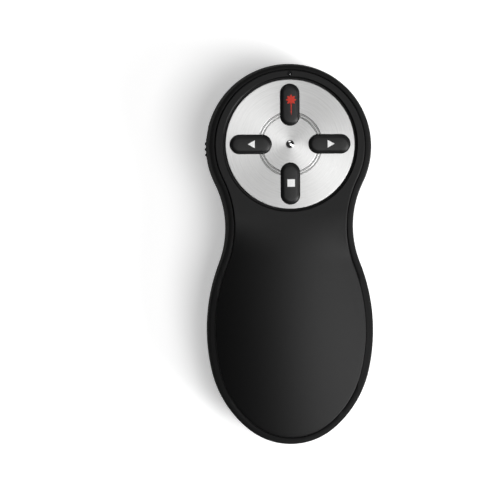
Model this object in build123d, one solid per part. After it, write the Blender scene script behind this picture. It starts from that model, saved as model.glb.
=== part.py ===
from build123d import *
import math
import os

# Hand-held presentation clicker, millimetres.
# Frame: origin on the rest plane under the middle of the body, +X to the right
# with the head pointing away from the holder, +Y towards the head, +Z up.

# ---- plan outline at the widest level
HEAD_RADIUS = 23.55
HEAD_SPACE = 36.34          # battery bay to the head's end
WAIST_BORDER = 4.64         # door rails to the waist's outline
TAIL_HALF_WIDTH = 23.70
TAIL_WIDEST_FROM_END = 32.68
TAIL_TIP_RADIUS = 19.05
TAIL_FULLNESS = 1.261       # side arc over the radius that would meet the tip arc directly
SHOULDER_SHARE = 0.343      # where the shoulder radius lies between tip and side radius

# ---- section of the casing
WALL = 1.6
WIDEST_Z = 9.0
BOTTOM_ROUND = 8.0
SIDE_SWEEP = 1.0            # how far the side leans in between its widest level and the head's top
SHOULDER_RADIUS = 1.3       # rounded upper edge of the casing
GROOVE_INSET_SIDE = 2.2     # parting line inside the widest outline
GROOVE_INSET_END = 2.0
RIM_DROP = 0.1              # casing's rim below the crown
LEDGE_Z = 13.4              # where the cover stands in the casing
LEDGE_REACH = 1.0
COVER_WALL = 1.5
COVER_FILLET = 0.4
CROWN_LENGTH_RADIUS = 420.0
CROWN_CROSS_RADIUS = 64.0
CROWN_BLEND = 14.0

# ---- clearances
FIT = 0.05                  # a shaft or pin in its hole
SLIP = 0.15                 # parts that slide or drop in
KEY_GAP = 0.2
DOOR_GAP = 0.1
BOARD_GAP = 0.1
PARTING_GAP = 0.1           # cover to the casing's rim

# ---- control disc and keys
DISC_AHEAD = 0.45           # disc centre ahead of the head arc's centre
HEAD_BORDER = 4.6           # disc recess to the head's outline
DISC_BORDER = 1.35          # keys' outer ends to the disc's edge
DISC_THICKNESS = 0.8
DISC_GAP = 0.45
DISC_BELOW_TOP = 0.3
RECESS_CHAMFER = 0.3
ADHESIVE_THICKNESS = 0.15
WEB = 1.2
WEB_OVERLAP = 0.5           # web into the cover's side
GROOVE_RADII = (8.1, 8.9)
DISC_GROOVE_WIDTH = 0.4
DISC_GROOVE_DEPTH = 0.25
DISC_CHAMFER = 0.15
STUD_RADIUS = 1.2
STUD_PROUD = 0.6
KEY_LENGTH = 11.5
KEY_WIDTH = 5.15
KEY_PROUD = 1.0
KEY_FILLET = 0.8
KEY_TRAVEL = 0.5
FLANGE = 1.0
FLANGE_OVERHANG = 0.8

# ---- circuit board and what it carries
BOARD_INSET = 4.5           # board's edge to the head's outline
BOARD_THICKNESS = 1.0
BOARD_OVER_TABS = 1.5       # straight edge of the board beyond the contact tabs
BOARD_TONGUE = 8.6          # half width of the tongue that carries the tabs
TACT_SIZE = 6.0
TACT_HEIGHT = 2.1
PLUNGER_RADIUS = 1.7
PLUNGER_RISE = 0.6
RF_CHIP = (5.0, 5.0, 0.9)
CRYSTAL = (3.2, 5.0, 1.2)
CRYSTAL_PLACE = (5.8, -6.8)
PASSIVE = (1.0, 0.5, 0.45)
PASSIVE_PITCH = 1.6
PASSIVE_FROM_SWITCH = 2.3
PASSIVE_STARTS = (-6.4, -2.4)
PASSIVES_PER_ROW = 4
ANTENNA_TRACK = 0.4
ANTENNA_THICKNESS = 0.1
ANTENNA_PITCH = 1.6
ANTENNA_RUNS = 6
ANTENNA_RUN_LENGTH = 2.0
ANTENNA_FROM_EDGE = 2.45
ANTENNA_START_X = -8.6
LED_SIZE = (1.6, 0.8, 0.7)
LED_FROM_EDGE = 0.6
PIPE_RADIUS = 0.6

# ---- fasteners
POST_RADIUS = 2.8
POST_FROM_BOARD_EDGE = 2.35
HEAD_POST_ANGLE = 45.0      # forward of the disc's cross axis
BOARD_POST_ANGLE = 35.0     # behind the disc's cross axis
SHANK_RADIUS = 1.1
SCREW_HEAD_RADIUS = 2.0
SCREW_HEAD_HEIGHT = 1.5
SCREW_RECESS = 1.4
DRIVE_RADIUS = 0.9
DRIVE_WIDTH = 0.5
DRIVE_DEPTH = 0.8
BOSS_RADIUS = 2.4
SCREW_BITE = 2.8
PILOT_DEPTH = 4.5
PILOT_SPARE = 0.3           # left empty beyond a screw's tip
TAIL_SCREW_X = 15.0
TAIL_SCREW_FROM_END = 15.2
TAIL_POST_TOP = 11.5

# ---- battery cells (size AAA) and contacts
CELL_RADIUS = 5.25
CELL_BODY = 43.5
CELL_NUB = 1.0
CELL_NUB_RADIUS = 1.9
CELL_GAP = 0.7
CELL_FLOOR_GAP = 0.75
CELL_TOP_GAP = 0.45
CONTACT = 0.3
CONTACT_RADIUS = 4.2
CONTACT_TAB = 2.0
SPRING_RADIUS = 3.0
SPRING_WIRE = 0.5
SPRING_LENGTH = 4.2
SPRING_TURNS = 4
BAY_WALL = 1.2
BAY_CEILING = 1.0
BAY_END_WALL = 0.9
CELL_SIDE_GAP = 0.6

# ---- battery door
DOOR_HEIGHT = 4.2
PLATE = 1.0
RAIL_HEIGHT = 0.8
RAIL_REACH = 0.9
RAIL_LENGTH = 43.0
RAIL_FROM_HEAD_EDGE = 4.0
DOOR_LIP = 0.8
FIN = 0.6
GRIP_RIBS = 5
GRIP_PITCH = 1.8
GRIP_DEPTH = 0.35
GRIP_WIDTH = 12.0

# ---- plug-in receiver (USB type A) and its dock
PLUG_WIDTH = 12.0
PLUG_HEIGHT = 4.5
PLUG_LENGTH = 14.06
PLUG_SKIN = 0.3
CAP_LENGTH = 5.2
CAP_FLANGE = 1.6
CAP_WIDTH = 13.2
CAP_HEIGHT = 6.0
CAP_BODY_HEIGHT = 5.2
CAP_FROM_TAIL_END = 2.2
WINDOW_LENGTH = 2.0
WINDOW_WIDTH = 2.6
WINDOW_OFFSET = 2.9
WINDOW_ROWS = (6.0, 12.1)
TONGUE_THICKNESS = 0.9
RECEIVER_BOARD = 0.6
FINGER_WIDTH = 1.0
FINGER_THICKNESS = 0.15
FINGERS = ((-3.5, 7.4), (-1.0, 6.4), (1.0, 6.4), (3.5, 7.4))
DOCK_WALL = 0.8
DOCK_FLOOR = 0.5

# ---- power slider
SLIDER_BEHIND = 0.6         # slider centre behind the head arc's centre
SLIDER_LENGTH = 6.2
SLIDER_HEIGHT = 4.2
SLIDER_TRAVEL = 3.0
SLIDER_RIBS = 3
SLIDER_RIB_PITCH = 1.6
SLIDER_RIB_RADIUS = 0.45
SLIDER_RIB_PROUD = 0.3
SLIDER_PLATE = (0.7, 10.0, 6.6)
SLIDER_PLATE_INSET = 4.8
SWITCH_BODY = (2.7, 9.0, 1.4)
LEVER_WIDTH = 1.3
LEVER_HEIGHT = 0.7
LEVER_REACH = 1.6
LEVER_ROOT = 0.9
FORK_PRONG = 1.0

# ---- laser
LASER_Z = 8.4
LASER_RADIUS = 3.0
LASER_LENGTH = 14.0
LASER_FROM_HEAD_END = 4.2
LENS_RADIUS = 2.2
LENS_THICKNESS = 1.4
DIODE_RADIUS = 2.0
DIODE_LENGTH = 3.0
LASER_SHOULDER = 0.9
WINDOW_RADIUS = 2.5
WINDOW_THICKNESS = 0.9
WINDOW_RECESS = 0.8
SADDLE_LENGTH = 2.0
WINDOW_SEAT_LENGTH = 6.0
SADDLE_WIDTH = 9.0
CLIP_WALL = 0.8
DRIVER_BOARD = (5.0, 9.0, 0.8)
PIN_RADIUS = 0.3

# ---- places and levels worked out from the sizes above
RECESS_RADIUS = HEAD_RADIUS - HEAD_BORDER - RECESS_CHAMFER
DISC_RADIUS = RECESS_RADIUS - DISC_GAP
KEY_RADIUS_OUT = DISC_RADIUS - DISC_BORDER - KEY_LENGTH / 2
PASSIVE_ROW = KEY_RADIUS_OUT - TACT_SIZE / 2 - PASSIVE_FROM_SWITCH
CELL_SPACING = 2 * CELL_RADIUS + CELL_GAP
BAY_HALF_WIDTH = CELL_SPACING / 2 + CELL_RADIUS + CELL_SIDE_GAP
BAY_OUTER = BAY_HALF_WIDTH + BAY_WALL
BAY_LENGTH = 2 * CONTACT + SPRING_LENGTH + CELL_BODY + CELL_NUB
WAIST_HALF_WIDTH = BAY_OUTER + RAIL_REACH + WAIST_BORDER
DOCK_LENGTH = CAP_FROM_TAIL_END + CAP_LENGTH + PLUG_LENGTH + 2 * SLIP + BAY_END_WALL
BODY_LENGTH = DOCK_LENGTH + BAY_LENGTH + HEAD_SPACE
HEAD_END_Y = BODY_LENGTH / 2
TAIL_END_Y = -BODY_LENGTH / 2
DISC_Y = HEAD_END_Y - HEAD_RADIUS + DISC_AHEAD
BOARD_RADIUS = HEAD_RADIUS - BOARD_INSET
POST_CIRCLE = BOARD_RADIUS - POST_FROM_BOARD_EDGE
HEAD_POST_X = POST_CIRCLE * math.cos(math.radians(HEAD_POST_ANGLE))
HEAD_POST_Y = DISC_Y + POST_CIRCLE * math.sin(math.radians(HEAD_POST_ANGLE))
BOARD_POST_X = POST_CIRCLE * math.cos(math.radians(BOARD_POST_ANGLE))
BOARD_POST_Y = DISC_Y - POST_CIRCLE * math.sin(math.radians(BOARD_POST_ANGLE))
CELL_Z = WALL + CELL_FLOOR_GAP + CELL_RADIUS
CEILING_Z = CELL_Z + CELL_RADIUS + CELL_TOP_GAP
BOARD_Z = CEILING_Z + BAY_CEILING + BOARD_GAP
BOARD_TOP_Z = BOARD_Z + BOARD_THICKNESS
TACT_TOP_Z = BOARD_TOP_Z + TACT_HEIGHT
FLANGE_Z = TACT_TOP_Z + PLUNGER_RISE
WEB_Z = FLANGE_Z + FLANGE + FIT
RECESS_Z = WEB_Z + WEB
DISC_Z = RECESS_Z + ADHESIVE_THICKNESS
DISC_TOP_Z = DISC_Z + DISC_THICKNESS
HEAD_TOP_Z = DISC_TOP_Z + DISC_BELOW_TOP
CROWN_START_Y = DISC_Y - RECESS_RADIUS - RECESS_CHAMFER - 0.4
PLATE_Z = DOOR_HEIGHT + DOOR_GAP
PLUG_TIP_Y = TAIL_END_Y + CAP_FROM_TAIL_END + CAP_LENGTH + PLUG_LENGTH
BAY_TAIL_Y = TAIL_END_Y + DOCK_LENGTH
BAY_HEAD_Y = BAY_TAIL_Y + BAY_LENGTH
DOOR_HEAD_Y = BAY_HEAD_Y + BAY_END_WALL + 1.0
RECEIVER_Z = PLATE_Z + DOCK_FLOOR + SLIP + CAP_HEIGHT / 2
TAIL_SCREW_Y = TAIL_END_Y + TAIL_SCREW_FROM_END
SLIDER_Y = HEAD_END_Y - HEAD_RADIUS - SLIDER_BEHIND
LASER_FRONT_Y = HEAD_END_Y - LASER_FROM_HEAD_END
LASER_BACK_Y = LASER_FRONT_Y - LASER_LENGTH
LED_Y = DISC_Y + BOARD_RADIUS - LED_FROM_EDGE
PIPE_TOP_Y = DISC_Y + RECESS_RADIUS + RECESS_CHAMFER + PIPE_RADIUS + 0.2
FAR = 200.0                 # longer than anything here, for half-space cuts


# ---------------------------------------------------------------- plain shapes
def block(x0, x1, y0, y1, z0, z1):
    """Box between two corners."""
    centre = Pos((x0 + x1) / 2, (y0 + y1) / 2, (z0 + z1) / 2)
    return centre * Box(abs(x1 - x0), abs(y1 - y0), abs(z1 - z0))


def rod(x, y, z0, z1, radius):
    """Upright cylinder from z0 to z1."""
    return Pos(x, y, (z0 + z1) / 2) * Cylinder(radius, z1 - z0)


def rod_y(x, z, y0, y1, radius):
    """Cylinder lying along Y from y0 to y1."""
    return Pos(x, (y0 + y1) / 2, z) * Rot(90, 0, 0) * Cylinder(radius, y1 - y0)


def oblong(x, y, z0, z1, length, width, turn):
    """Round-ended prism, its long side along X and then turned about Z."""
    outline = Pos(x, y, z0) * Rot(0, 0, turn) * SlotOverall(length, width)
    return extrude(outline, amount=z1 - z0, dir=(0, 0, 1))


def mirrored(shape):
    """A shape and its mirror image across the middle plane."""
    return shape + mirror(shape, about=Plane.YZ)


def union(shapes):
    """All shapes of a list as one."""
    whole = shapes[0]
    for shape in shapes[1:]:
        whole = whole + shape
    return whole


# ---------------------------------------------------------------- outline and crown
def tail_radii():
    """Side and shoulder radius of the tail, from its width, length and tip radius."""
    reach = TAIL_WIDEST_FROM_END - TAIL_TIP_RADIUS
    spread = TAIL_HALF_WIDTH**2 - TAIL_TIP_RADIUS**2
    direct = (reach**2 + spread) / (2 * (TAIL_HALF_WIDTH - TAIL_TIP_RADIUS))
    side = TAIL_FULLNESS * direct
    shoulder = TAIL_TIP_RADIUS + SHOULDER_SHARE * (side - TAIL_TIP_RADIUS)
    return side, shoulder


def towards(start, end, distance):
    """The point at a distance from start on the line to end."""
    length = math.dist(start, end)
    return tuple(a + (b - a) * distance / length for a, b in zip(start, end))


def waist_arc(head, head_radius, side, side_radius, half_width):
    """Centre and radius of the hollow arc that touches the head arc and the side arc."""
    depth = half_width - side[0]
    a1 = 1 / (2 * (head_radius - half_width))
    b1 = 1 / (2 * (side_radius - depth))
    a = a1 - b1
    b = -2 * a1 * head[1] + 2 * b1 * side[1]
    c = a1 * (head[1]**2 + half_width**2 - head_radius**2)
    c -= b1 * (side[1]**2 + depth**2 - side_radius**2)
    y = 2 * c / (-b + math.sqrt(b * b - 4 * a * c))
    radius = a1 * (half_width**2 - head_radius**2 + (head[1] - y)**2)
    return (half_width + radius, y), radius


def shoulder_centre(side, side_gap, tip, tip_gap):
    """The point at given distances from the side arc's and the tip arc's centres."""
    span = math.dist(side, tip)
    along = (side_gap**2 - tip_gap**2 + span**2) / (2 * span)
    off = math.sqrt(side_gap**2 - along**2)
    ex = (tip[0] - side[0]) / span
    ey = (tip[1] - side[1]) / span
    return side[0] + ex * along - ey * off, side[1] + ey * along + ex * off


def outline_arcs(side_inset, end_inset):
    """Right half of the outline, head to tail: (centre, radius, start, end) of each arc."""
    side_radius, shoulder_radius = tail_radii()
    widest_y = TAIL_END_Y + TAIL_WIDEST_FROM_END
    side = (TAIL_HALF_WIDTH - side_radius, widest_y)
    r_head = HEAD_RADIUS - side_inset
    r_side = side_radius - side_inset
    r_shoulder = shoulder_radius - side_inset
    r_tip = TAIL_TIP_RADIUS - side_inset
    head = (0.0, HEAD_END_Y - end_inset - r_head)
    tip = (0.0, TAIL_END_Y + end_inset + r_tip)
    waist, r_waist = waist_arc(head, r_head, side, r_side, WAIST_HALF_WIDTH - side_inset)
    shoulder = shoulder_centre(side, r_side - r_shoulder, tip, r_shoulder - r_tip)
    head_top = (0.0, HEAD_END_Y - end_inset)
    head_waist = towards(head, waist, r_head)
    waist_side = towards(side, waist, r_side)
    side_shoulder = towards(side, shoulder, r_side)
    shoulder_tip = towards(shoulder, tip, r_shoulder)
    tail_end = (0.0, TAIL_END_Y + end_inset)
    return [
        (head, r_head, head_top, head_waist),
        (waist, r_waist, head_waist, waist_side),
        (side, r_side, waist_side, side_shoulder),
        (shoulder, r_shoulder, side_shoulder, shoulder_tip),
        (tip, r_tip, shoulder_tip, tail_end),
    ]


def arc_edge(centre, radius, start, end, z, flip):
    """One arc at level z, on the right or, flipped, on the left."""
    middle = tuple((s + e) / 2 for s, e in zip(start, end))
    crest = towards(centre, middle, radius)
    points = [(flip * x, y, z) for x, y in (start, crest, end)]
    return Edge.make_three_point_arc(*points)


def outline_wire(side_inset, end_inset, z):
    """The closed outline at level z, drawn in from the widest one by the insets."""
    arcs = outline_arcs(side_inset, end_inset)
    edges = [arc_edge(*arc, z, 1) for arc in arcs]
    edges += [arc_edge(*arc, z, -1) for arc in reversed(arcs)]
    return Wire(edges)


def outline_prism(insets, z0, z1):
    """Upright prism of one outline."""
    return extrude(Face(outline_wire(*insets, z0)), amount=z1 - z0, dir=(0, 0, 1))


def outline_loft(insets_at, levels):
    """Smooth body through the outlines that insets_at gives at the levels."""
    return Part() + Solid.make_loft([outline_wire(*insets_at(z), z) for z in levels])


def round_share(share):
    """Inset of a quarter ellipse of unit size, at a share of its height."""
    return 1 - math.sqrt(1 - min(share, 1.0)**2)


def outer_insets(z):
    """Insets of the casing's outside: a quarter ellipse below its widest level, a slight lean above."""
    if z < WIDEST_Z:
        inset = BOTTOM_ROUND * round_share((WIDEST_Z - z) / WIDEST_Z)
    else:
        inset = SIDE_SWEEP * ((z - WIDEST_Z) / (HEAD_TOP_Z - WIDEST_Z))**2
    return inset, inset


def inner_insets(z):
    """Insets of the casing's inside: one wall at the widest level, thicker towards the ledge."""
    if z < WIDEST_Z:
        share = round_share((WIDEST_Z - z) / (WIDEST_Z - WALL))
        inset = WALL + (BOTTOM_ROUND - WALL) * share
        return inset, inset
    share = ((z - WIDEST_Z) / (LEDGE_Z - WIDEST_Z))**2
    side, end = groove_insets(LEDGE_REACH - WALL)
    return WALL + side * share, WALL + end * share


def groove_insets(extra):
    """Insets of the parting line, and further in by extra."""
    return GROOVE_INSET_SIDE + extra, GROOVE_INSET_END + extra


def crown_z(x, y):
    """Height of the crowned top: flat at the head, falling to the tail and to both sides."""
    back = max(0.0, CROWN_START_Y - y)
    share = min(back / CROWN_BLEND, 1.0)
    cross = share * share * (3 - 2 * share)
    return HEAD_TOP_Z - back**2 / (2 * CROWN_LENGTH_RADIUS) - cross * x**2 / (2 * CROWN_CROSS_RADIUS)


def under_crown(lowered):
    """Everything below the crowned top, lowered by a wall: a smooth surface through a grid of heights."""
    step = 4.0
    half_x = math.ceil(1.2 * max(HEAD_RADIUS, TAIL_HALF_WIDTH) / step)
    half_y = math.ceil(1.1 * HEAD_END_Y / step)
    across = [i * step for i in range(-half_x, half_x + 1)]
    along = [j * step for j in range(-half_y, half_y + 1)]
    rows = [[Vector(x, y, crown_z(x, y) - lowered) for y in along] for x in across]
    skin = Face.make_surface_from_array_of_points(rows, tol=0.005, min_deg=3, max_deg=5)
    return extrude(skin, amount=2 * HEAD_TOP_Z, dir=(0, 0, -1))


# ---------------------------------------------------------------- shared bodies
def levels(low, high, count):
    """Levels from low to high, closer together near low."""
    return [low + (high - low) * (i / (count - 1))**1.5 for i in range(count)]


def casing_solid():
    """The casing's outer form, solid: the bottom round, the side up to the crown, the rounded shoulder."""
    bowl = outline_loft(outer_insets, levels(0.0, WIDEST_Z, 7))
    rise = HEAD_TOP_Z + 1 - WIDEST_Z
    side = outline_loft(outer_insets, [WIDEST_Z + rise * i / 3 for i in range(4)]) & under_crown(RIM_DROP)
    return bowl + fillet(crown_edges(side, RIM_DROP), SHOULDER_RADIUS)


def cavity_solid():
    """The casing's hollow up to the ledge, its levels crowded where the bottom round is flat."""
    rise = LEDGE_Z + 0.5 - WIDEST_Z
    below = levels(WALL, WIDEST_Z, 7)
    return outline_loft(inner_insets, below + [WIDEST_Z + rise * (i + 1) / 3 for i in range(3)])


def cover_seat():
    """The room above the ledge that the cover fills."""
    return outline_prism(groove_insets(0), LEDGE_Z, HEAD_TOP_Z + 1)


def crown_edges(solid, lowered):
    """The edges of a solid that lie on the crowned top, lowered, from end to end."""
    found = []
    for edge in solid.edges():
        points = [edge @ share for share in (0.0, 0.5, 1.0)]
        if all(abs(point.Z + lowered - crown_z(point.X, point.Y)) < COVER_FILLET / 4 for point in points):
            found.append(edge)
    return found


def cover_solid():
    """The cover's outer form, solid: sides, crown and the rounded edge between them."""
    solid = outline_prism(groove_insets(PARTING_GAP), LEDGE_Z, HEAD_TOP_Z + 1) & under_crown(0)
    return fillet(crown_edges(solid, 0), COVER_FILLET)


CASING = casing_solid()
SHELL = CASING - cavity_solid()
COVER = cover_solid()
BOARD_SUPPORTS = ((HEAD_POST_X, HEAD_POST_Y), (BOARD_POST_X, BOARD_POST_Y))
KEY_PLACES = {
    "laser": (0.0, KEY_RADIUS_OUT, 90),
    "back": (-KEY_RADIUS_OUT, 0.0, 0),
    "forward": (KEY_RADIUS_OUT, 0.0, 0),
    "blank": (0.0, -KEY_RADIUS_OUT, 90),
}


def key_prisms(z0, z1, grown):
    """The four key outlines as prisms, grown all round."""
    return [
        oblong(x, DISC_Y + y, z0, z1, KEY_LENGTH + 2 * grown, KEY_WIDTH + 2 * grown, turn)
        for x, y, turn in KEY_PLACES.values()
    ]


def light_pipe(radius, overshoot):
    """The sloping rod that leads from the lamp on the board to the head's edge."""
    low = Vector(0, LED_Y, BOARD_TOP_Z + LED_SIZE[2] + 0.2)
    high = Vector(0, PIPE_TOP_Y, HEAD_TOP_Z)
    path = high - low
    start = low - path.normalized() * overshoot
    return extrude(Plane(origin=start, z_dir=path) * Circle(radius), amount=path.length + overshoot + 2)


# ---------------------------------------------------------------- casing
def battery_door():
    """Sliding door: the underside of the tail, with fins that hook over the casing's rails."""
    region = block(-FAR, FAR, -FAR, DOOR_HEAD_Y - DOOR_GAP, 0, DOOR_HEIGHT)
    door = SHELL & region
    rail_x = BAY_OUTER + RAIL_REACH
    head_y = DOOR_HEAD_Y - DOOR_GAP
    rail_y = head_y - RAIL_FROM_HEAD_EDGE
    channel = block(BAY_HALF_WIDTH - SLIP, rail_x + SLIP, rail_y - RAIL_LENGTH, FAR, WALL + SLIP, FAR)
    fin_x = rail_x + SLIP
    flange_z = DOOR_HEIGHT - DOOR_LIP - SLIP
    fin = block(fin_x, fin_x + FIN, rail_y - RAIL_LENGTH, rail_y, WALL, DOOR_HEIGHT)
    lip_z = DOOR_HEIGHT - SLIP
    lip = block(BAY_OUTER + SLIP, fin_x + FIN, rail_y - RAIL_LENGTH, rail_y, flange_z, lip_z)
    door = door - mirrored(channel)
    door = door + (mirrored(fin + lip) & CASING & region)
    for i in range(GRIP_RIBS):
        y = TAIL_END_Y + BOTTOM_ROUND + 10 + i * GRIP_PITCH
        door = door - block(-GRIP_WIDTH / 2, GRIP_WIDTH / 2, y, y + GRIP_PITCH / 2, -1, GRIP_DEPTH)
    return door


def bay_box():
    """Battery bay: two long walls, two end walls, the ceiling and the door's rails."""
    y0 = BAY_TAIL_Y - BAY_END_WALL
    y1 = BAY_HEAD_Y + BAY_END_WALL
    outer = block(-BAY_OUTER, BAY_OUTER, y0, y1, PLATE_Z, CEILING_Z + BAY_CEILING)
    inner = block(-BAY_HALF_WIDTH, BAY_HALF_WIDTH, BAY_TAIL_Y, BAY_HEAD_Y, 0, CEILING_Z)
    rail_z = DOOR_HEIGHT - DOOR_LIP - 2 * SLIP
    rail_y = DOOR_HEAD_Y - DOOR_GAP - RAIL_FROM_HEAD_EDGE
    web = block(BAY_HALF_WIDTH, BAY_OUTER, rail_y - RAIL_LENGTH, rail_y, rail_z - RAIL_HEIGHT, PLATE_Z)
    rail = block(
        BAY_HALF_WIDTH, BAY_OUTER + RAIL_REACH, rail_y - RAIL_LENGTH, rail_y, rail_z - RAIL_HEIGHT, rail_z
    )
    tabs = mirrored(contact_tab(CELL_SPACING / 2, FIT))
    return (outer - inner - tabs) + mirrored(web + rail), inner


def dock_box():
    """The receiver's dock: a box in the tail and the hollow that it wraps."""
    half = PLUG_WIDTH / 2 + SLIP
    half_z = PLUG_HEIGHT / 2 + SLIP
    cap_x = CAP_WIDTH / 2 + SLIP
    cap_z = CAP_HEIGHT / 2 + SLIP
    cap_y = TAIL_END_Y + CAP_FROM_TAIL_END + CAP_LENGTH
    box = block(
        -cap_x - DOCK_WALL, cap_x + DOCK_WALL, -FAR, BAY_TAIL_Y, PLATE_Z, RECEIVER_Z + cap_z + DOCK_WALL
    )
    slot = block(-half, half, -FAR, BAY_TAIL_Y - BAY_END_WALL, RECEIVER_Z - half_z, RECEIVER_Z + half_z)
    pocket = block(-cap_x, cap_x, -FAR, cap_y + SLIP, RECEIVER_Z - cap_z, RECEIVER_Z + cap_z)
    return box & CASING, slot + pocket


def in_casing(shape):
    """A feature trimmed to the casing below its parting level and left whole above its widest."""
    return (shape & CASING) + (shape & block(-FAR, FAR, -FAR, FAR, WIDEST_Z, FAR))


def lower_posts():
    """Posts for the two head screws and the two board screws, and the two tail posts."""
    shapes = []
    for x, y in BOARD_SUPPORTS:
        shapes.append(mirrored(rod(x, y, 0, BOARD_Z, POST_RADIUS)))
    shapes.append(mirrored(rod(TAIL_SCREW_X, TAIL_SCREW_Y, PLATE_Z, TAIL_POST_TOP, POST_RADIUS)))
    return shapes


def slider_window():
    """The opening in the left wall that the power slider fills and slides in."""
    half = SLIDER_LENGTH / 2 + SLIP
    half_z = SLIDER_HEIGHT / 2 + SLIP
    return block(
        -FAR, -HEAD_RADIUS / 2, SLIDER_Y - half, SLIDER_Y + half + SLIDER_TRAVEL,
        WIDEST_Z - half_z, WIDEST_Z + half_z,
    )


def laser_saddles():
    """Two upright plates under the laser barrel, joined to the floor."""
    shapes = []
    for y in (LASER_BACK_Y + 1.5, LASER_FRONT_Y - 1.5 - SADDLE_LENGTH):
        plate = block(-SADDLE_WIDTH / 2, SADDLE_WIDTH / 2, y, y + SADDLE_LENGTH, WALL / 2, LASER_Z)
        shapes.append(plate - rod_y(0, LASER_Z, y - 1, y + SADDLE_LENGTH + 1, LASER_RADIUS + FIT))
    return union(shapes)


def window_seat():
    """Bore in the front wall for the laser window, stepped so that it seats from inside."""
    face_y = HEAD_END_Y - WINDOW_RECESS
    bore = rod_y(0, LASER_Z, face_y - 1, FAR / 2, WINDOW_RADIUS - 0.4)
    seat = rod_y(0, LASER_Z, face_y - WINDOW_SEAT_LENGTH, face_y, WINDOW_RADIUS + FIT)
    return bore + seat


def lower_case():
    """Lower casing: shell, door opening, bay, dock, posts and every hole through it."""
    case = SHELL - cover_seat()
    tail = block(-FAR, FAR, -FAR, DOOR_HEAD_Y, -1, PLATE_Z)
    case = case - tail
    plate = CASING & block(-FAR, FAR, -FAR, DOOR_HEAD_Y + WALL, PLATE_Z, PLATE_Z + PLATE)
    bulkhead = CASING & block(-FAR, FAR, DOOR_HEAD_Y, DOOR_HEAD_Y + WALL, 0, PLATE_Z + PLATE)
    case = case + plate + bulkhead
    case = case + (in_casing(union(lower_posts())) - tail)
    case = case + (laser_saddles() & CASING)
    bay, bay_hollow = bay_box()
    case = (case - bay_hollow) + bay
    dock, dock_hollow = dock_box()
    case = (case + dock) - dock_hollow
    case = case - cover_seat()
    case = case + bay + (board_posts_top() - bay_hollow)
    case = case - slider_window() - window_seat()
    return case - case_screw_holes()


def board_posts_top():
    """The posts' upper ends, above the ledge level."""
    shapes = [mirrored(rod(x, y, WIDEST_Z, BOARD_Z, POST_RADIUS)) for x, y in BOARD_SUPPORTS]
    return union(shapes)


def case_screw_holes():
    """Clearance holes and head pockets of the four case screws, and the board screws' pilots."""
    head_z = SCREW_RECESS + SCREW_HEAD_HEIGHT
    head = rod(HEAD_POST_X, HEAD_POST_Y, -1, head_z, SCREW_HEAD_RADIUS + SLIP)
    shank = rod(HEAD_POST_X, HEAD_POST_Y, 0, FAR / 4, SHANK_RADIUS + SLIP)
    tail_head = rod(TAIL_SCREW_X, TAIL_SCREW_Y, -1, PLATE_Z + head_z, SCREW_HEAD_RADIUS + SLIP)
    tail_shank = rod(TAIL_SCREW_X, TAIL_SCREW_Y, 0, FAR / 4, SHANK_RADIUS + SLIP)
    pilot = rod(BOARD_POST_X, BOARD_POST_Y, BOARD_Z - PILOT_DEPTH, FAR / 4, SHANK_RADIUS + FIT / 2)
    return mirrored(head + shank + tail_head + tail_shank + pilot)


def cover_bosses():
    """Bosses that hang from the cover and take the case screws."""
    head = rod(HEAD_POST_X, HEAD_POST_Y, BOARD_TOP_Z, WEB_Z + WEB / 2, BOSS_RADIUS)
    tail = rod(TAIL_SCREW_X, TAIL_SCREW_Y, TAIL_POST_TOP, HEAD_TOP_Z, BOSS_RADIUS)
    return mirrored(head + tail)


def boss_pilots():
    """Blind pilot holes in the cover's bosses."""
    deep = SCREW_BITE + PILOT_SPARE
    head = rod(HEAD_POST_X, HEAD_POST_Y, 0, BOARD_TOP_Z + deep, SHANK_RADIUS + FIT / 2)
    tail = rod(TAIL_SCREW_X, TAIL_SCREW_Y, 0, TAIL_POST_TOP + deep, SHANK_RADIUS + FIT / 2)
    return mirrored(head + tail)


def top_cover():
    """Upper cover: crowned shell with the disc recess, key holes and screw bosses."""
    hollow = outline_prism(groove_insets(PARTING_GAP + COVER_WALL), LEDGE_Z - 1, HEAD_TOP_Z + 1)
    cover = COVER - (hollow & under_crown(WALL))
    web = rod(0, DISC_Y, WEB_Z, RECESS_Z, RECESS_RADIUS + COVER_WALL + WEB_OVERLAP)
    cover = cover + ((web + cover_bosses()) & COVER)
    cover = cover - rod(0, DISC_Y, RECESS_Z, FAR / 4, RECESS_RADIUS)
    flare = Pos(0, DISC_Y, HEAD_TOP_Z - RECESS_CHAMFER / 2)
    cover = cover - flare * Cone(RECESS_RADIUS, RECESS_RADIUS + RECESS_CHAMFER, RECESS_CHAMFER)
    cover = cover - union(key_prisms(WEB_Z - 1, RECESS_Z + 1, KEY_GAP))
    cover = cover - rod(0, DISC_Y, 0, FAR / 4, STUD_RADIUS / 2 + FIT)
    return cover - boss_pilots() - light_pipe(PIPE_RADIUS + FIT, 0)


# ---------------------------------------------------------------- control disc and keys
def control_disc():
    """Metal disc with two turned grooves, key holes and the stud hole."""
    disc = rod(0, DISC_Y, DISC_Z, DISC_TOP_Z, DISC_RADIUS)
    disc = chamfer(disc.edges().group_by(Axis.Z)[-1], DISC_CHAMFER)
    disc = disc - union(key_prisms(DISC_Z - 1, DISC_TOP_Z + 1, KEY_GAP))
    floor_z = DISC_TOP_Z - DISC_GROOVE_DEPTH
    half = DISC_GROOVE_WIDTH / 2
    for radius in GROOVE_RADII:
        outer = rod(0, DISC_Y, floor_z, DISC_TOP_Z + 1, radius + half)
        inner = rod(0, DISC_Y, floor_z - 1, DISC_TOP_Z + 2, radius - half)
        disc = disc - (outer - inner)
    return disc - rod(0, DISC_Y, 0, FAR / 4, STUD_RADIUS / 2 + FIT)


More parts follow.
